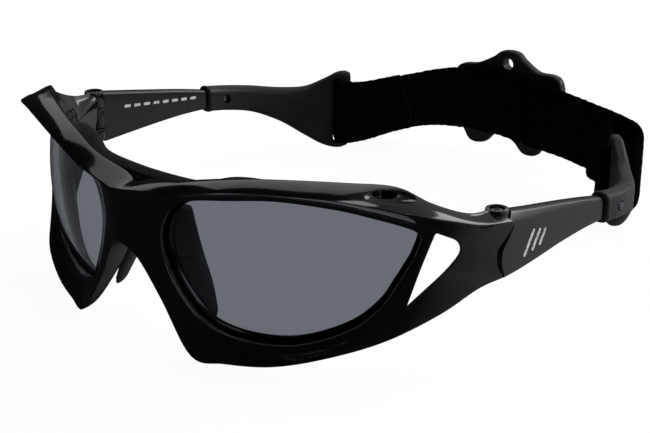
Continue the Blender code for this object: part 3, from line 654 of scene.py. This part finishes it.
GLOSS = gloss_material()
SATIN = satin_material()
RUBBER = rubber_material("soft_rubber", (0.004, 0.004, 0.0045), (0.008, 0.008, 0.0085), 0.45)
FOAM = foam_material()
PILE = pile_material()
TAPE = tape_material()
LENS = lens_material()
STEEL = steel_material()
PRINT = print_material()


# ---------------- lenses and front

def on_lens(x, z, radius=LENS_RADIUS):
    """The point of the left lens sphere seen from the front at (x, z)."""
    dx, dz = x - LENS_CENTRE.x, z - LENS_CENTRE.z
    return Vector((x, LENS_CENTRE.y - math.sqrt(radius * radius - dx * dx - dz * dz), z))


def opening_frames(steps):
    """Round the opening: the point on the lens, the lens normal and the way outward."""
    curve = spline([station[0] for station in RIM_STATIONS], steps, closed=True)
    outline = [on_lens(x, z) for x, z in curve]
    frames = []
    for i, point in enumerate(outline):
        along = (outline[(i + 1) % len(outline)] - outline[i - 1]).normalized()
        normal = (point - LENS_CENTRE).normalized()
        outward = normal.cross(along)
        if outward.dot(point - on_lens(*LENS_MIDDLE)) < 0:
            outward.negate()
        frames.append((point, normal, outward.normalized()))
    return frames


def rim_point(rim_frame, radius, offset):
    """A point at a radius from the lens centre, offset outward from the opening."""
    point, _, outward = rim_frame
    moved = point + outward * offset
    return LENS_CENTRE + (moved - LENS_CENTRE).normalized() * radius


def around_lens(start, end, share):
    """A point part of the way between two others, following the wrap about the lens axis."""
    places = []
    for point in (start, end):
        dx, dy = point.x - LENS_CENTRE.x, LENS_CENTRE.y - point.y
        places.append((math.atan2(dx, dy), math.hypot(dx, dy), point.z))
    angle, radius, height = (a + (b - a) * share for a, b in zip(*places))
    return Vector((LENS_CENTRE.x + radius * math.sin(angle),
                   LENS_CENTRE.y - radius * math.cos(angle), height))


def rim_rings():
    """Cross-sections round the left half of the front, with every edge rounded."""
    fronts = spline([s[1] for s in RIM_STATIONS], STATION_STEPS, closed=True)
    rears = spline([s[2] for s in RIM_STATIONS], STATION_STEPS, closed=True)
    rings = []
    for rim_frame, front, rear in zip(opening_frames(STATION_STEPS), fronts, rears):
        front, rear = Vector(front), Vector(rear)
        crest = rim_point(rim_frame, LIP_CREST_RADIUS, LIP_WIDTH)
        back = rim_point(rim_frame, RIM_REAR_RADIUS, LIP_WIDTH)
        crown = rim_frame[1] * FACE_CROWN
        edge_crown = (front + rear - 2 * rim_frame[0]).normalized() * FACE_CROWN
        rings.append(rounded_ring([
            (rim_point(rim_frame, LIP_FRONT_RADIUS, 0.0), 0.25),
            (crest, 0.5),
            (around_lens(crest, front, 1 / 3) + crown, 5.0),
            (around_lens(crest, front, 2 / 3) + crown, 5.0),
            (front, 0.6),
            (front.lerp(rear, 0.5) + edge_crown, 5.0),
            (rear, 0.7),
            (around_lens(rear, back, 0.5), 5.0),
            (back, 0.5),
            (rim_point(rim_frame, RIM_REAR_RADIUS + REAR_CHAMFER, 0.0), 0.3),
            (rim_point(rim_frame, GROOVE_REAR_RADIUS, 0.0), 0.1),
            (rim_point(rim_frame, GROOVE_REAR_RADIUS, GROOVE_DEPTH), 0.1),
            (rim_point(rim_frame, GROOVE_FRONT_RADIUS, GROOVE_DEPTH), 0.1),
            (rim_point(rim_frame, GROOVE_FRONT_RADIUS, 0.0), 0.1),
        ], 3))
    return rings


def joint_cutter(side, offset, way):
    """Everything ahead (way -1) or behind (way 1) of the joint line moved back by an offset."""
    line = [(y + offset, z) for y, z in spline(JOINT_LINE, 10)][::way]
    far_y = HINGE_Y + way * END_DEPTH
    line += [(far_y, line[-1][1]), (far_y, line[0][1])]
    return prism([(side * HINGE_X, y, z) for y, z in line], Vector((1, 0, 0)), END_REACH)


def barrel(side, radius, low, high, edge=0.0):
    """A cylinder on a hinge's axis between two heights."""
    return rod((side * HINGE_X, HINGE_Y, (low + high) / 2), radius, high - low, "Z", edge)


def scoop_cutter(half_sizes, forward, aside, tilt):
    """A stretched ball that hollows the air scoop in the top of the brow wing."""
    along = SCOOP_ALONG.normalized()
    across = SCOOP_NORMAL.cross(along).normalized()
    axes = Matrix((along, across, along.cross(across))).transposed().to_4x4()
    turn = axes @ Matrix.Rotation(math.radians(tilt), 4, "X")
    centre = SCOOP_MIDDLE + along * forward + across * aside
    return ball(half_sizes, Matrix.Translation(centre) @ turn)


def mirror_over_middle(body):
    both = body.modifiers.new("both_sides", "MIRROR")
    both.use_bisect_axis[0] = True
    both.bisect_threshold = 0.0001
    both.merge_threshold = 0.001


def smooth_middle(mesh):
    """Evens out the crease where the two halves of the front meet."""
    bm = bmesh.new()
    bm.from_mesh(mesh)
    for _ in range(MIDDLE_ROUNDS):
        targets = {}
        for vert in bm.verts:
            share = 1 - abs(vert.co.x) / MIDDLE_HALF_WIDTH
            if share <= 0 or not vert.link_edges:
                continue
            around = [edge.other_vert(vert).co for edge in vert.link_edges]
            mean = sum(around, Vector()) / len(around)
            targets[vert] = vert.co.lerp(mean, 0.5 * share)
        for vert, place in targets.items():
            vert.co = place
    return mesh_from(bm, CARVED_SHARP_ANGLE)


def make_front():
    vent = rounded_ring([(Vector(p), r) for p, r in zip(VENT_CORNERS, VENT_CORNER_RADII)], 5)
    steps = [
        ("DIFFERENCE", joint_cutter(1, 0.0, 1)),
        ("DIFFERENCE", prism(vent, VENT_DIRECTION, VENT_REACH)),
        ("DIFFERENCE", scoop_cutter(*SCOOP_DISH)),
        ("DIFFERENCE", scoop_cutter(*SCOOP_HOLLOW)),
        ("UNION", barrel(1, BARREL_RADIUS, BARREL_BOTTOM, KNUCKLE_BOTTOM - FIT_GAP, EDGE)),
        ("UNION", barrel(1, BARREL_RADIUS, KNUCKLE_TOP + FIT_GAP, BARREL_TOP, EDGE)),
        ("DIFFERENCE", barrel(1, BARREL_RADIUS + BARREL_GAP, KNUCKLE_BOTTOM - FIT_GAP,
                              KNUCKLE_TOP + FIT_GAP)),
        ("DIFFERENCE", barrel(1, BORE_RADIUS, BARREL_BOTTOM - END_REACH,
                              BARREL_TOP + END_REACH)),
        ("DIFFERENCE", barrel(1, SCREW_HEAD_RADIUS + FIT_GAP,
                              BARREL_TOP - SCREW_HEAD_HEIGHT - 2 * FIT_GAP,
                              BARREL_TOP + END_REACH)),
    ]
    mesh = carved(loft(rim_rings(), closed=True), steps, mirror_over_middle)
    add_piece("front_shell", smooth_middle(mesh), GLOSS, "front", "gloss_black_nylon",
              "front_frame")


def make_lens(side_name, side):
    """A spherical shell whose edge stands in the rim's groove."""
    rings = []
    for radius, order in ((LENS_RADIUS, 1), (LENS_RADIUS - LENS_THICKNESS, -1)):
        edge = [rim_point(rim_frame, radius, LENS_INSET)
                for rim_frame in opening_frames(LENS_STEPS)]
        surface = []
        for level in range(1, LENS_LEVELS + 1):
            share = level / LENS_LEVELS
            surface.append([on_lens(LENS_MIDDLE[0] + (p.x - LENS_MIDDLE[0]) * share,
                                    LENS_MIDDLE[1] + (p.z - LENS_MIDDLE[1]) * share, radius)
                            for p in edge])
        rings += surface[::order]
    add_piece(f"lens_shell_{side_name}", loft(rings, mirror=side < 0), LENS, "front",
              "grey_polarised_lens", f"lens_{side_name}")


# ---------------- arms, hinges and sleeves

def arm_ring(y, outer, thickness, bottom, top, chamfer):
    """Section of an arm: a rounded bar with a wide chamfer along its upper outer edge."""
    inner = outer - thickness
    edge = min(0.9, thickness * 0.35)
    middle = (bottom + top - chamfer * CHAMFER_DROP) / 2
    return rounded_ring([
        (Vector((outer + ARM_CROWN, y, middle)), 9.0),
        (Vector((outer, y, top - chamfer * CHAMFER_DROP)), 0.7),
        (Vector((outer - chamfer * CHAMFER_RUN, y, top)), 0.5),
        (Vector((inner, y, top)), edge),
        (Vector((inner, y, bottom)), edge),
        (Vector((outer, y, bottom)), edge),
    ], 4)


def arm_rings(sections, steps):
    return [arm_ring(*values) for values in spline(sections, steps)]


def make_arm(side_name, side):
    body = loft(softened(arm_rings(ARM_SECTIONS, 8), 0.35), mirror=side < 0)
    room = BARREL_RADIUS + BARREL_GAP
    steps = [
        ("DIFFERENCE", joint_cutter(side, JOINT_GAP, -1)),
        ("DIFFERENCE", barrel(side, room, BARREL_BOTTOM - END_REACH, KNUCKLE_BOTTOM)),
        ("DIFFERENCE", barrel(side, room, KNUCKLE_TOP, BARREL_TOP + END_REACH)),
        ("UNION", barrel(side, BARREL_RADIUS, KNUCKLE_BOTTOM, KNUCKLE_TOP, EDGE)),
        ("UNION", loft(arm_rings(TANG_SECTIONS, 4), mirror=side < 0)),
        ("DIFFERENCE", barrel(side, BORE_RADIUS, BARREL_BOTTOM - END_REACH,
                              BARREL_TOP + END_REACH)),
        ("DIFFERENCE", rod(flip(STUD_CENTRE, side), STUD_RADIUS + FIT_GAP, 2 * END_REACH, "X")),
    ]
    add_piece(f"arm_bar_{side_name}", carved(body, steps), SATIN, f"temple_{side_name}",
              "satin_black_nylon", f"arm_{side_name}")


def make_screw(side_name, side):
    """A turned screw with a domed, cross-recessed head."""
    top = BARREL_TOP - FIT_GAP
    neck = top - SCREW_HEAD_HEIGHT
    point = BARREL_BOTTOM + SCREW_END_GAP
    profile = [(SCREW_RADIUS * 0.6, point), (SCREW_RADIUS, point + 0.4), (SCREW_RADIUS, neck),
               (SCREW_HEAD_RADIUS, neck), (SCREW_HEAD_RADIUS, top - 0.35),
               (SCREW_HEAD_RADIUS * 0.85, top - 0.1), (SCREW_HEAD_RADIUS * 0.5, top)]
    place = Vector((side * HINGE_X, HINGE_Y, 0))
    length, width, depth = SCREW_CROSS
    steps = []
    for along_x, along_y in ((length, width), (width, length)):
        bm = bmesh.new()
        bmesh.ops.create_cube(bm, size=1.0)
        bmesh.ops.scale(bm, vec=(along_x, along_y, 2 * depth), verts=bm.verts)
        bmesh.ops.translate(bm, vec=place + Vector((0, 0, top)), verts=bm.verts)
        steps.append(("DIFFERENCE", mesh_from(bm)))
    add_piece(f"hinge_screw_body_{side_name}", carved(turned(profile, place), steps), STEEL,
              "front", "dark_steel", f"hinge_screw_{side_name}")


def level_ways(points, i):
    """The level ways along and across a path at one of its points."""
    before, after = points[max(i - 1, 0)], points[min(i + 1, len(points) - 1)]
    along = Vector((after[0] - before[0], after[1] - before[1], 0)).normalized()
    return along, Vector((along.y, -along.x, 0))


def sleeve_ring(x, y, bottom, top, thickness, across):
    """A pill-shaped section that stands across the sleeve's path."""
    half = thickness / 2
    end = half * 0.85
    middle, reach = (bottom + top) / 2, (top - bottom) / 2 - end
    ring = []
    for step in range(SLEEVE_SIDES):
        angle = 2 * math.pi * (step + 0.5) / SLEEVE_SIDES
        offset = across * (half * math.copysign(abs(math.cos(angle)) ** 0.8, math.cos(angle)))
        height = middle + math.copysign(reach, math.sin(angle)) + end * math.sin(angle)
        ring.append(Vector((x + offset.x, y + offset.y, height)))
    return ring


def sleeve_rings():
    """The sleeve's sections, with a low collar where it meets the arm."""
    sections = spline(SLEEVE_SECTIONS, SLEEVE_STEPS)
    rings = []
    for i, (x, y, bottom, top, thickness) in enumerate(sections):
        _, across = level_ways(sections, i)
        collar = SLEEVE_COLLAR * max(0.0, 1 - (i / 3) ** 2)
        rings.append(sleeve_ring(x, y, bottom - collar, top + collar, thickness + 2 * collar,
                                 across))
    return rings


def slot_cutter(side):
    """The strap slot, with its long edges rounded."""
    half_width, half_height = SLOT_WIDTH / 2, SLOT_HEIGHT / 2
    half_length = SLOT_LENGTH / 2
    corners = [(Vector((a * half_width, 0, b * half_height)), 0.7)
               for a, b in ((1, 1), (-1, 1), (-1, -1), (1, -1))]
    mesh = prism(rounded_ring(corners, 4), Vector((0, 1, 0)), half_length)
    turn = Matrix.Rotation(math.radians(side * SLOT_AZIMUTH), 4, "Z")
    mesh.transform(Matrix.Translation(flip(SLOT_CENTRE, side)) @ turn)
    return mesh


def make_sleeve(side_name, side):
    grown = [[y, outer + FIT_GAP, thick + 2 * FIT_GAP, low - FIT_GAP, high + FIT_GAP, chamfer]
             for y, outer, thick, low, high, chamfer in TANG_SECTIONS]
    grown[-1][0] += FIT_GAP
    steps = [
        ("DIFFERENCE", loft(arm_rings(grown, 4), mirror=side < 0)),
        ("DIFFERENCE", slot_cutter(side)),
        ("DIFFERENCE", rod(flip(STUD_CENTRE, side), STUD_RADIUS + FIT_GAP, 2 * END_REACH, "X")),
    ]
    body = loft(softened(sleeve_rings(), 0.9), mirror=side < 0)
    add_piece(f"sleeve_skin_{side_name}", carved(body, steps), RUBBER, f"temple_{side_name}",
              "matte_black_rubber", f"sleeve_{side_name}")


def make_stud(side_name, side):
    mesh = rod(flip(STUD_CENTRE, side), STUD_RADIUS, STUD_LENGTH, "X", 0.3, 32)
    add_piece(f"stud_pin_{side_name}", mesh, STEEL, f"temple_{side_name}", "dark_steel",
              f"sleeve_stud_{side_name}")


def arm_section_at(y):
    return min(spline(ARM_SECTIONS, 40), key=lambda section: abs(section[0] - y))


def outer_face_x(y):
    return arm_section_at(y)[1] + ARM_CROWN * 0.9


def inner_face_x(y):
    section = arm_section_at(y)
    return section[1] - section[2]


def make_mark(name, places, side, x_at, body):
    """A printed mark of short slanted bars on an arm's side."""
    bars = []
    for y, z, length, width, slant in places:
        angle = math.radians(slant)
        along = Vector((0, math.cos(angle), math.sin(angle)))
        across = Vector((0, -math.sin(angle), math.cos(angle)))
        centre = Vector((x_at(y), y, z))
        corners = [(centre + along * (a * length / 2) + across * (b * width / 2), width * 0.45)
                   for a, b in ((-1, -1), (1, -1), (1, 1), (-1, 1))]
        bars.append(prism(rounded_ring(corners, 3), Vector((1, 0, 0)), 0.03))
    mesh = joined(bars)
    if side < 0:
        mesh.transform(Matrix.Scale(-1, 4, (1, 0, 0)))
        mesh.flip_normals()
    add_piece(name, mesh, PRINT, body, "satin_black_nylon")


# ---------------- strap and rear pad

def upright(lean):
    """The upward way of a ribbon that leans by an angle in degrees."""
    return Vector((0, math.sin(math.radians(lean)), math.cos(math.radians(lean))))


def ribbon_rings(path, width, thickness, steps, across_count, offset=0.0):
    """Sections of an upright ribbon along a path of (x, y, z, lean in degrees)."""
    points = spline(path, steps)
    shares = [-math.cos(math.pi * k / across_count) for k in range(across_count + 1)]
    profile = [(0.5 * thickness * (1 - abs(s) ** 10) ** 0.5, s * width / 2) for s in shares]
    corners = profile + [(-a, b) for a, b in profile[-2:0:-1]]
    rings = []
    for i, (x, y, z, lean) in enumerate(points):
        _, across = level_ways(points, i)
        middle = Vector((x, y, z)) + across * offset
        rings.append([middle + across * a + upright(lean) * b for a, b in corners])
    return rings


def fuzzed(mesh, amount, seed):
    """Roughens a mesh like brushed pile, more at the edges than on the faces."""
    shift = Vector((seed, seed * 2.0, 0.0))
    mesh_normals = [vert.normal.copy() for vert in mesh.vertices]
    for vert, normal in zip(mesh.vertices, mesh_normals):
        fine = noise.noise(vert.co * 2.1 + shift)
        coarse = noise.noise(vert.co * 0.55 + shift)
        level = 1.0 + 1.6 * abs(normal.z)
        vert.co += normal * (amount * level * (0.65 * fine + 0.35 * coarse))
    return mesh


def make_strap(side_name, side, path):
    rings = softened(ribbon_rings(path, STRAP_WIDTH, STRAP_THICKNESS + 2 * PILE_HEIGHT,
                                  STRAP_STEPS, STRAP_ACROSS), STRAP_END_ROUNDING)
    strap = add_piece(f"webbing_{side_name}", fuzzed(loft(rings), FUZZ, 3.0 * side), PILE, None,
                      "black_pile_webbing", f"strap_{side_name}")
    bend_at_bar(strap)
    reach = STRAP_THICKNESS / 2 + TAPE_THICKNESS / 2 + FIT_GAP * 0.5
    tape_rings = ribbon_rings(path[:2], TAPE_WIDTH, TAPE_THICKNESS, STRAP_STEPS, TAPE_ACROSS,
                              -side * reach)
    tape = loft(softened(tape_rings, TAPE_END_ROUNDING))
    add_piece(f"fold_hook_tape_{side_name}", tape, TAPE, f"strap_{side_name}", "black_hook_tape",
              f"fold_tape_{side_name}")
    add_piece(f"fold_stitching_{side_name}", stitching(path, side), PILE, f"strap_{side_name}",
              "black_pile_webbing")


def bend_at_bar(piece):
    """Bakes the strap's placement into its mesh."""
    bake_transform(piece)


def stitching(path, side):
    """Rows of thread that hold the hook tape on the folded end."""
    stitches = []
    points = spline(path[:2], 12)
    face = side * (STRAP_THICKNESS / 2 + 0.05)
    for i in range(1, len(points) - 1, 2):
        x, y, z, lean = points[i]
        along, across = level_ways(points, i)
        turn = Matrix((along, across, Vector((0, 0, 1)))).transposed().to_4x4()
        for row in STITCH_ROWS:
            centre = Vector((x, y, z)) + across * face + upright(lean) * (row * STRAP_WIDTH)
            stitches.append(ball(STITCH_HALF_SIZES, Matrix.Translation(centre) @ turn, 12))
    return joined(stitches)


def pad_surface_y(x):
    """The rear pad's middle surface bends with the strap."""
    return PAD_MIDDLE_Y - PAD_BEND_RADIUS + math.sqrt(PAD_BEND_RADIUS ** 2 - x * x)


def inset_outline(outline, distance):
    """A closed (x, z) outline moved inward along its own normals."""
    result = []
    for i, (x, z) in enumerate(outline):
        before, after = outline[i - 1], outline[(i + 1) % len(outline)]
        way = Vector((after[0] - before[0], after[1] - before[1])).normalized()
        result.append((x + way.y * distance, z - way.x * distance))
    return result


def make_rear_pad():
    """A rubber plate with rounded edges and a leash hole, bent to the strap."""
    outline = spline(PAD_OUTLINE, PAD_STEPS, closed=True)
    rings = []
    for side in (-1, 1):
        arc = []
        for step in range(PAD_EDGE_STEPS + 1):
            angle = math.pi / 2 * step / PAD_EDGE_STEPS
            inset = PAD_EDGE_RADIUS * (1 - math.sin(angle))
            depth = side * (PAD_THICKNESS / 2 - PAD_EDGE_RADIUS * (1 - math.cos(angle)))
            arc.append([Vector((x, depth, z)) for x, z in inset_outline(outline, inset)])
        rings += arc if side < 0 else arc[::-1]
    plate = loft(rings)
    hole = rod((LEASH_HOLE[0], 0, LEASH_HOLE[1]), LEASH_HOLE_RADIUS, END_REACH, "Y")
    plate = carved(plate, [("DIFFERENCE", hole)])
    bm = bmesh.new()
    bm.from_mesh(plate)
    left, right = min(x for x, _ in PAD_OUTLINE), max(x for x, _ in PAD_OUTLINE)
    for fold in range(1, PAD_FOLDS):
        line = (left + (right - left) * fold / PAD_FOLDS, 0, 0)
        bmesh.ops.bisect_plane(bm, geom=bm.verts[:] + bm.edges[:] + bm.faces[:],
                               plane_co=line, plane_no=(1, 0, 0))
    for vert in bm.verts:
        vert.co.y += pad_surface_y(vert.co.x)
    add_piece("rear_pad_skin", mesh_from(bm), RUBBER, "strap_right", "matte_black_rubber",
              "rear_pad")


def make_pad_tape(name, ends, node):
    offset = PAD_THICKNESS / 2 + TAPE_THICKNESS / 2 + FIT_GAP * 0.5
    path = []
    for step in range(PAD_TAPE_STEPS + 1):
        x = ends[0] + (ends[1] - ends[0]) * step / PAD_TAPE_STEPS
        path.append((x, pad_surface_y(x) - offset, PAD_TAPE_Z, 0))
    rings = ribbon_rings(path, TAPE_WIDTH, TAPE_THICKNESS, 3, TAPE_ACROSS)
    add_piece(name, loft(softened(rings, TAPE_END_ROUNDING)), TAPE, "strap_right",
              "black_hook_tape", node)


# ---------------- soft parts on the front

def make_brow_seal():
    """A matte cushion strip behind the brow that drops and thins towards its ends."""
    half = [station[2] for station in RIM_STATIONS[1:6]]
    points = spline([(-x, y, z) for x, y, z in reversed(half)] + half, 16)
    points = [point for point in points if abs(point[0]) < SEAL_HALF_WIDTH]
    rings = []
    for i, (x, y, z) in enumerate(points):
        _, across = level_ways(points, i)
        back = -across
        share = max(0.0, abs(x) - SEAL_DROP_START) / (SEAL_HALF_WIDTH - SEAL_DROP_START)
        drop = SEAL_END_DROP * share ** 2
        middle = max(0.0, 1 - abs(x) / SEAL_DROP_START)
        height = 1 - (1 - SEAL_END_HEIGHT) * share ** 2 + (SEAL_MIDDLE_HEIGHT - 1) * middle
        start = Vector((x, y, z + SEAL_START[1] - drop)) + back * SEAL_START[0]
        corners = [(start + back * a + Vector((0, 0, b * height)), 0.8) for a, b in SEAL_PROFILE]
        rings.append(rounded_ring(corners, 4))
    seal = add_piece("brow_cushion", loft(softened(rings, 1.0)), FOAM, "front",
                     "matte_seal_foam", "brow_seal")


def make_nose_pad(side_name, side):
    """A rounded pad behind the nose side of the rim, which thins towards its foot."""
    points = [Vector(point) for point in spline(NOSE_PAD_PATH, NOSE_PAD_STEPS)]
    flare = math.radians(NOSE_PAD_FLARE)
    depth_way = Vector((math.sin(flare), math.cos(flare), 0))
    last = len(points) - 1
    rings = []
    for i, point in enumerate(points):
        along = (points[min(i + 1, last)] - points[max(i - 1, 0)]).normalized()
        thick_way = depth_way.cross(along).normalized()
        taper = NOSE_PAD_TAPER * max(0.0, 2 * i / last - 1) ** 2
        depth = depth_way * (NOSE_PAD_DEPTH / 2 * (1 - taper))
        thickness = thick_way * (NOSE_PAD_THICKNESS / 2 * (1 - taper))
        angles = [2 * math.pi * step / NOSE_PAD_SIDES for step in range(NOSE_PAD_SIDES)]
        rings.append([point + depth * math.cos(a) + thickness * math.sin(a) for a in angles])
    add_piece(f"nose_cushion_{side_name}", loft(softened(rings, 1.1, 6), mirror=side < 0), RUBBER,
              "front", "matte_black_rubber", f"nose_pad_{side_name}")


# ---------------- stage, light and camera

def make_floor():
    """A pale floor that shows only a faint shadow."""
    bm = bmesh.new()
    bmesh.ops.create_grid(bm, x_segments=1, y_segments=1, size=3.0)
    floor = bpy.data.objects.new("floor", mesh_from(bm))
    bpy.context.scene.collection.objects.link(floor)
    material, _, _ = new_material("pale_floor", (0.1, 0.1, 0.1), 1.0, Specular_IOR_Level=0.0,
                                  Emission_Color=(1.0, 1.0, 1.0, 1.0), Emission_Strength=0.96)
    floor.data.materials.append(material)
    floor.location.z = -FLOOR_DROP
    floor.visible_glossy = False


def make_world():
    """A plain white backdrop; what the gloss mirrors is dark, and brighter towards one side."""
    world = bpy.data.worlds.new("studio")
    bpy.context.scene.world = world
    world.use_nodes = True
    tree = world.node_tree
    background = tree.nodes["Background"]
    coordinates = tree.nodes.new("ShaderNodeTexCoord")
    towards = tree.nodes.new("ShaderNodeVectorMath")
    towards.operation = "DOT_PRODUCT"
    towards.inputs[1].default_value = Vector(BRIGHT_SIDE).normalized()
    curve = tree.nodes.new("ShaderNodeValToRGB")
    tree.links.new(coordinates.outputs["Generated"], towards.inputs[0])
    tree.links.new(towards.outputs["Value"], curve.inputs["Fac"])
    stops = curve.color_ramp.elements
    stops[0].position = 0.15
    stops[0].color = (0.012, 0.012, 0.014, 1.0)
    stops[1].position = 1.0
    stops[1].color = (0.5, 0.51, 0.54, 1.0)
    rays = tree.nodes.new("ShaderNodeLightPath")
    seen = tree.nodes.new("ShaderNodeMath")
    seen.use_clamp = True
    tree.links.new(rays.outputs["Is Camera Ray"], seen.inputs[0])
    tree.links.new(rays.outputs["Is Transmission Ray"], seen.inputs[1])
    backdrop = tree.nodes.new("ShaderNodeMix")
    backdrop.data_type = "RGBA"
    backdrop.inputs["B"].default_value = (1.0, 1.0, 1.0, 1.0)
    tree.links.new(seen.outputs["Value"], backdrop.inputs["Factor"])
    tree.links.new(curve.outputs["Color"], backdrop.inputs["A"])
    tree.links.new(backdrop.outputs["Result"], background.inputs["Color"])
    background.inputs["Strength"].default_value = 1.0


def make_softbox(name, place, size, power):
    """A rectangular area light aimed at the object."""
    light = bpy.data.lights.new(name, "AREA")
    light.shape = "RECTANGLE"
    light.size, light.size_y = size
    light.energy = power
    lamp = bpy.data.objects.new(name, light)
    lamp.location = place
    way = Vector(SOFTBOX_TARGET) - Vector(place)
    lamp.rotation_euler = way.to_track_quat("-Z", "Y").to_euler()
    bpy.context.scene.collection.objects.link(lamp)


def make_camera():
    azimuth, elevation = math.radians(CAMERA_AZIMUTH), math.radians(CAMERA_ELEVATION)
    back = Vector((math.sin(azimuth) * math.cos(elevation),
                   -math.cos(azimuth) * math.cos(elevation), math.sin(elevation)))
    right = Vector((math.cos(azimuth), math.sin(azimuth), 0))
    turn = Matrix((right, back.cross(right), back)).transposed().to_4x4()
    camera = bpy.data.objects.new("camera", bpy.data.cameras.new("camera"))
    camera.matrix_world = RIGID @ Matrix.Translation(CAMERA_PLACE * MM) @ turn
    camera.data.sensor_width = SENSOR_WIDTH
    camera.data.lens = CAMERA_FOCAL_WIDTHS * SENSOR_WIDTH
    camera.data.clip_start = 0.01
    bpy.context.scene.collection.objects.link(camera)
    bpy.context.scene.camera = camera


def make_studio():
    make_floor()
    make_world()
    for softbox in SOFTBOXES:
        make_softbox(*softbox)
    bpy.context.scene.view_settings.view_transform = "Standard"


# ---------------- assembly

make_camera()
make_studio()
make_front()
make_brow_seal()
for side_name, side in SIDES:
    make_lens(side_name, side)
    make_nose_pad(side_name, side)
    make_screw(side_name, side)
    make_arm(side_name, side)
    make_sleeve(side_name, side)
    make_stud(side_name, side)
make_strap("left", 1, LEFT_STRAP)
make_strap("right", -1, RIGHT_STRAP)
make_rear_pad()
make_pad_tape("pad_hook_tape_left", LEFT_PAD_TAPE, "pad_tape_left")
make_pad_tape("pad_hook_tape_right", RIGHT_PAD_TAPE, "pad_tape_right")
for side_name, side in SIDES:
    make_mark(f"outer_mark_{side_name}", OUTER_BARS, side, outer_face_x, f"temple_{side_name}")
    make_mark(f"inner_mark_{side_name}", INNER_BARS, side, inner_face_x, f"temple_{side_name}")
